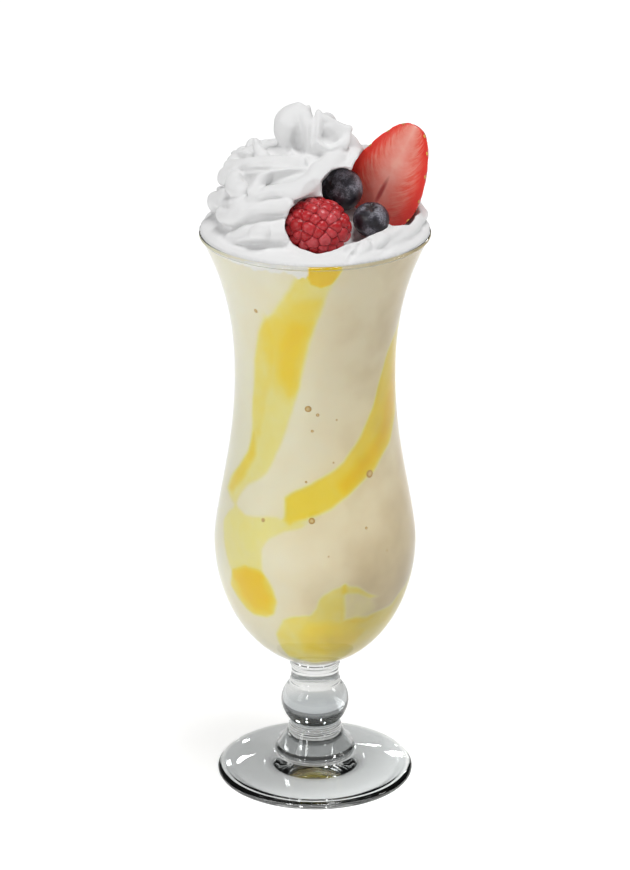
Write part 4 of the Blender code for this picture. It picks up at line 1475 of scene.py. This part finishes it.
# Floor, lights and camera: a plain white table, tall soft lights at the front left, a
# wide one overhead, windows at the right and behind, which leave bright marks on the
# foot, and the camera where the photo was taken.
floor_half = 4.0
floor_z = -0.0002
corners = [
    (-floor_half, -floor_half, floor_z), (floor_half, -floor_half, floor_z),
    (floor_half, floor_half, floor_z), (-floor_half, floor_half, floor_z),
]
mesh = bpy.data.meshes.new("floor")
mesh.from_pydata(corners, [], [(0, 1, 2, 3)])
floor_paint, tree = new_tree("floor")
floor_shader = add(
    tree, "BsdfPrincipled",
    {
        "Base Color": linear("F2F2F2"), "Roughness": 0.9, "Specular IOR Level": 0.0,
        "Emission Color": (1.0, 1.0, 1.0, 1.0), "Emission Strength": 0.55,
    },
)
finish_tree(tree, floor_shader)
floor = bpy.data.objects.new("floor", mesh)
bpy.context.scene.collection.objects.link(floor)
mesh.materials.append(floor_paint)

world = bpy.data.worlds.new("studio")
world.use_nodes = True
world.node_tree.nodes.clear()
tree = world.node_tree
direction = add(tree, "TexCoord", {}).outputs["Generated"]
parts = add(tree, "SeparateXYZ", {0: direction})
brightness = ramp(
    tree, parts.outputs["Z"],
    (0.0, "D8D8D8"), (0.10, "C8C8C8"), (0.20, "646463"), (0.5, "5E5E5E"), (1.0, "7A7A7A"),
)
# Dark cards stand at both sides, the right one wider, and darken the edges of the glass
right_card = stretch(tree, parts.outputs["X"], 0.55, 0.80, 0.0, 0.9)
left_card = stretch(tree, parts.outputs["X"], -0.92, -0.80, 0.9, 0.0)
card = calculated(tree, "MAXIMUM", right_card, left_card)
below_top = stretch(tree, parts.outputs["Z"], 0.45, 0.65, 1.0, 0.0)
card = calculated(tree, "MULTIPLY", card, below_top)
above_table = stretch(tree, parts.outputs["Z"], 0.02, 0.10, 0.25, 1.0)
card = calculated(tree, "MULTIPLY", card, above_table)
brightness = mix_colour(tree, card, brightness, linear("202428"))
sky = add(tree, "Background", {"Color": brightness, "Strength": 0.8})
add(tree, "OutputWorld", {"Surface": sky.outputs[0]})
bpy.context.scene.world = world


def soft_light(name, azimuth, elevation, distance, size, power):
    """A rectangular lamp aimed at the middle of the glass, azimuth counted from the front."""
    target = Vector((0, 0, glass_height * 0.6))
    a, e = math.radians(azimuth), math.radians(elevation)
    away = Vector((math.sin(a) * math.cos(e), -math.cos(a) * math.cos(e), math.sin(e)))
    lamp = bpy.data.lights.new(name, "AREA")
    lamp.shape = "RECTANGLE"
    lamp.size, lamp.size_y = size
    lamp.energy = power
    made = bpy.data.objects.new(name, lamp)
    bpy.context.scene.collection.objects.link(made)
    made.location = target + away * distance
    made.rotation_euler = away.to_track_quat("Z", "Y").to_euler()


soft_light("front_left", -58, 26, 1.5, (0.40, 0.9), 3.2)
soft_light("front_strip", -32, 34, 1.4, (0.15, 0.50), 3.0)
soft_light("overhead", 50, 80, 1.6, (0.5, 0.5), 14.0)
soft_light("front_fill", 25, 12, 1.8, (0.9, 0.9), 1.6)
soft_light("back_right", 150, 22, 1.4, (0.16, 0.10), 1.2)
soft_light("right_window", 95, 32, 1.3, (0.20, 0.26), 1.8)
soft_light("back_window", 168.0, 15.0, 1.36, (0.055, 0.09), 0.55)
soft_light("back_sill", 168.8, 7.0, 1.37, (0.022, 0.05), 0.13)
soft_light("back_left", 188.2, 8.4, 1.37, (0.020, 0.10), 0.18)
soft_light("back_left_high", 194.9, 19.2, 1.34, (0.030, 0.12), 0.3)

# The camera's focal length is 4283 in units of a picture that is 870 high
focal_length = 4283
picture_height = 870
film_height = 36
camera_pitch = 21.52
camera_data = bpy.data.cameras.new("camera")
camera_data.sensor_fit = "VERTICAL"
camera_data.sensor_height = film_height
camera_data.lens = focal_length / picture_height * film_height
camera = bpy.data.objects.new("camera", camera_data)
bpy.context.scene.collection.objects.link(camera)
camera.location = (0.0, -1.409, 0.686)
camera.rotation_euler = (math.radians(90 - camera_pitch), 0, 0)
bpy.context.scene.camera = camera
bpy.context.scene.view_settings.view_transform = "Standard"
bpy.context.scene.cycles.use_denoising = True
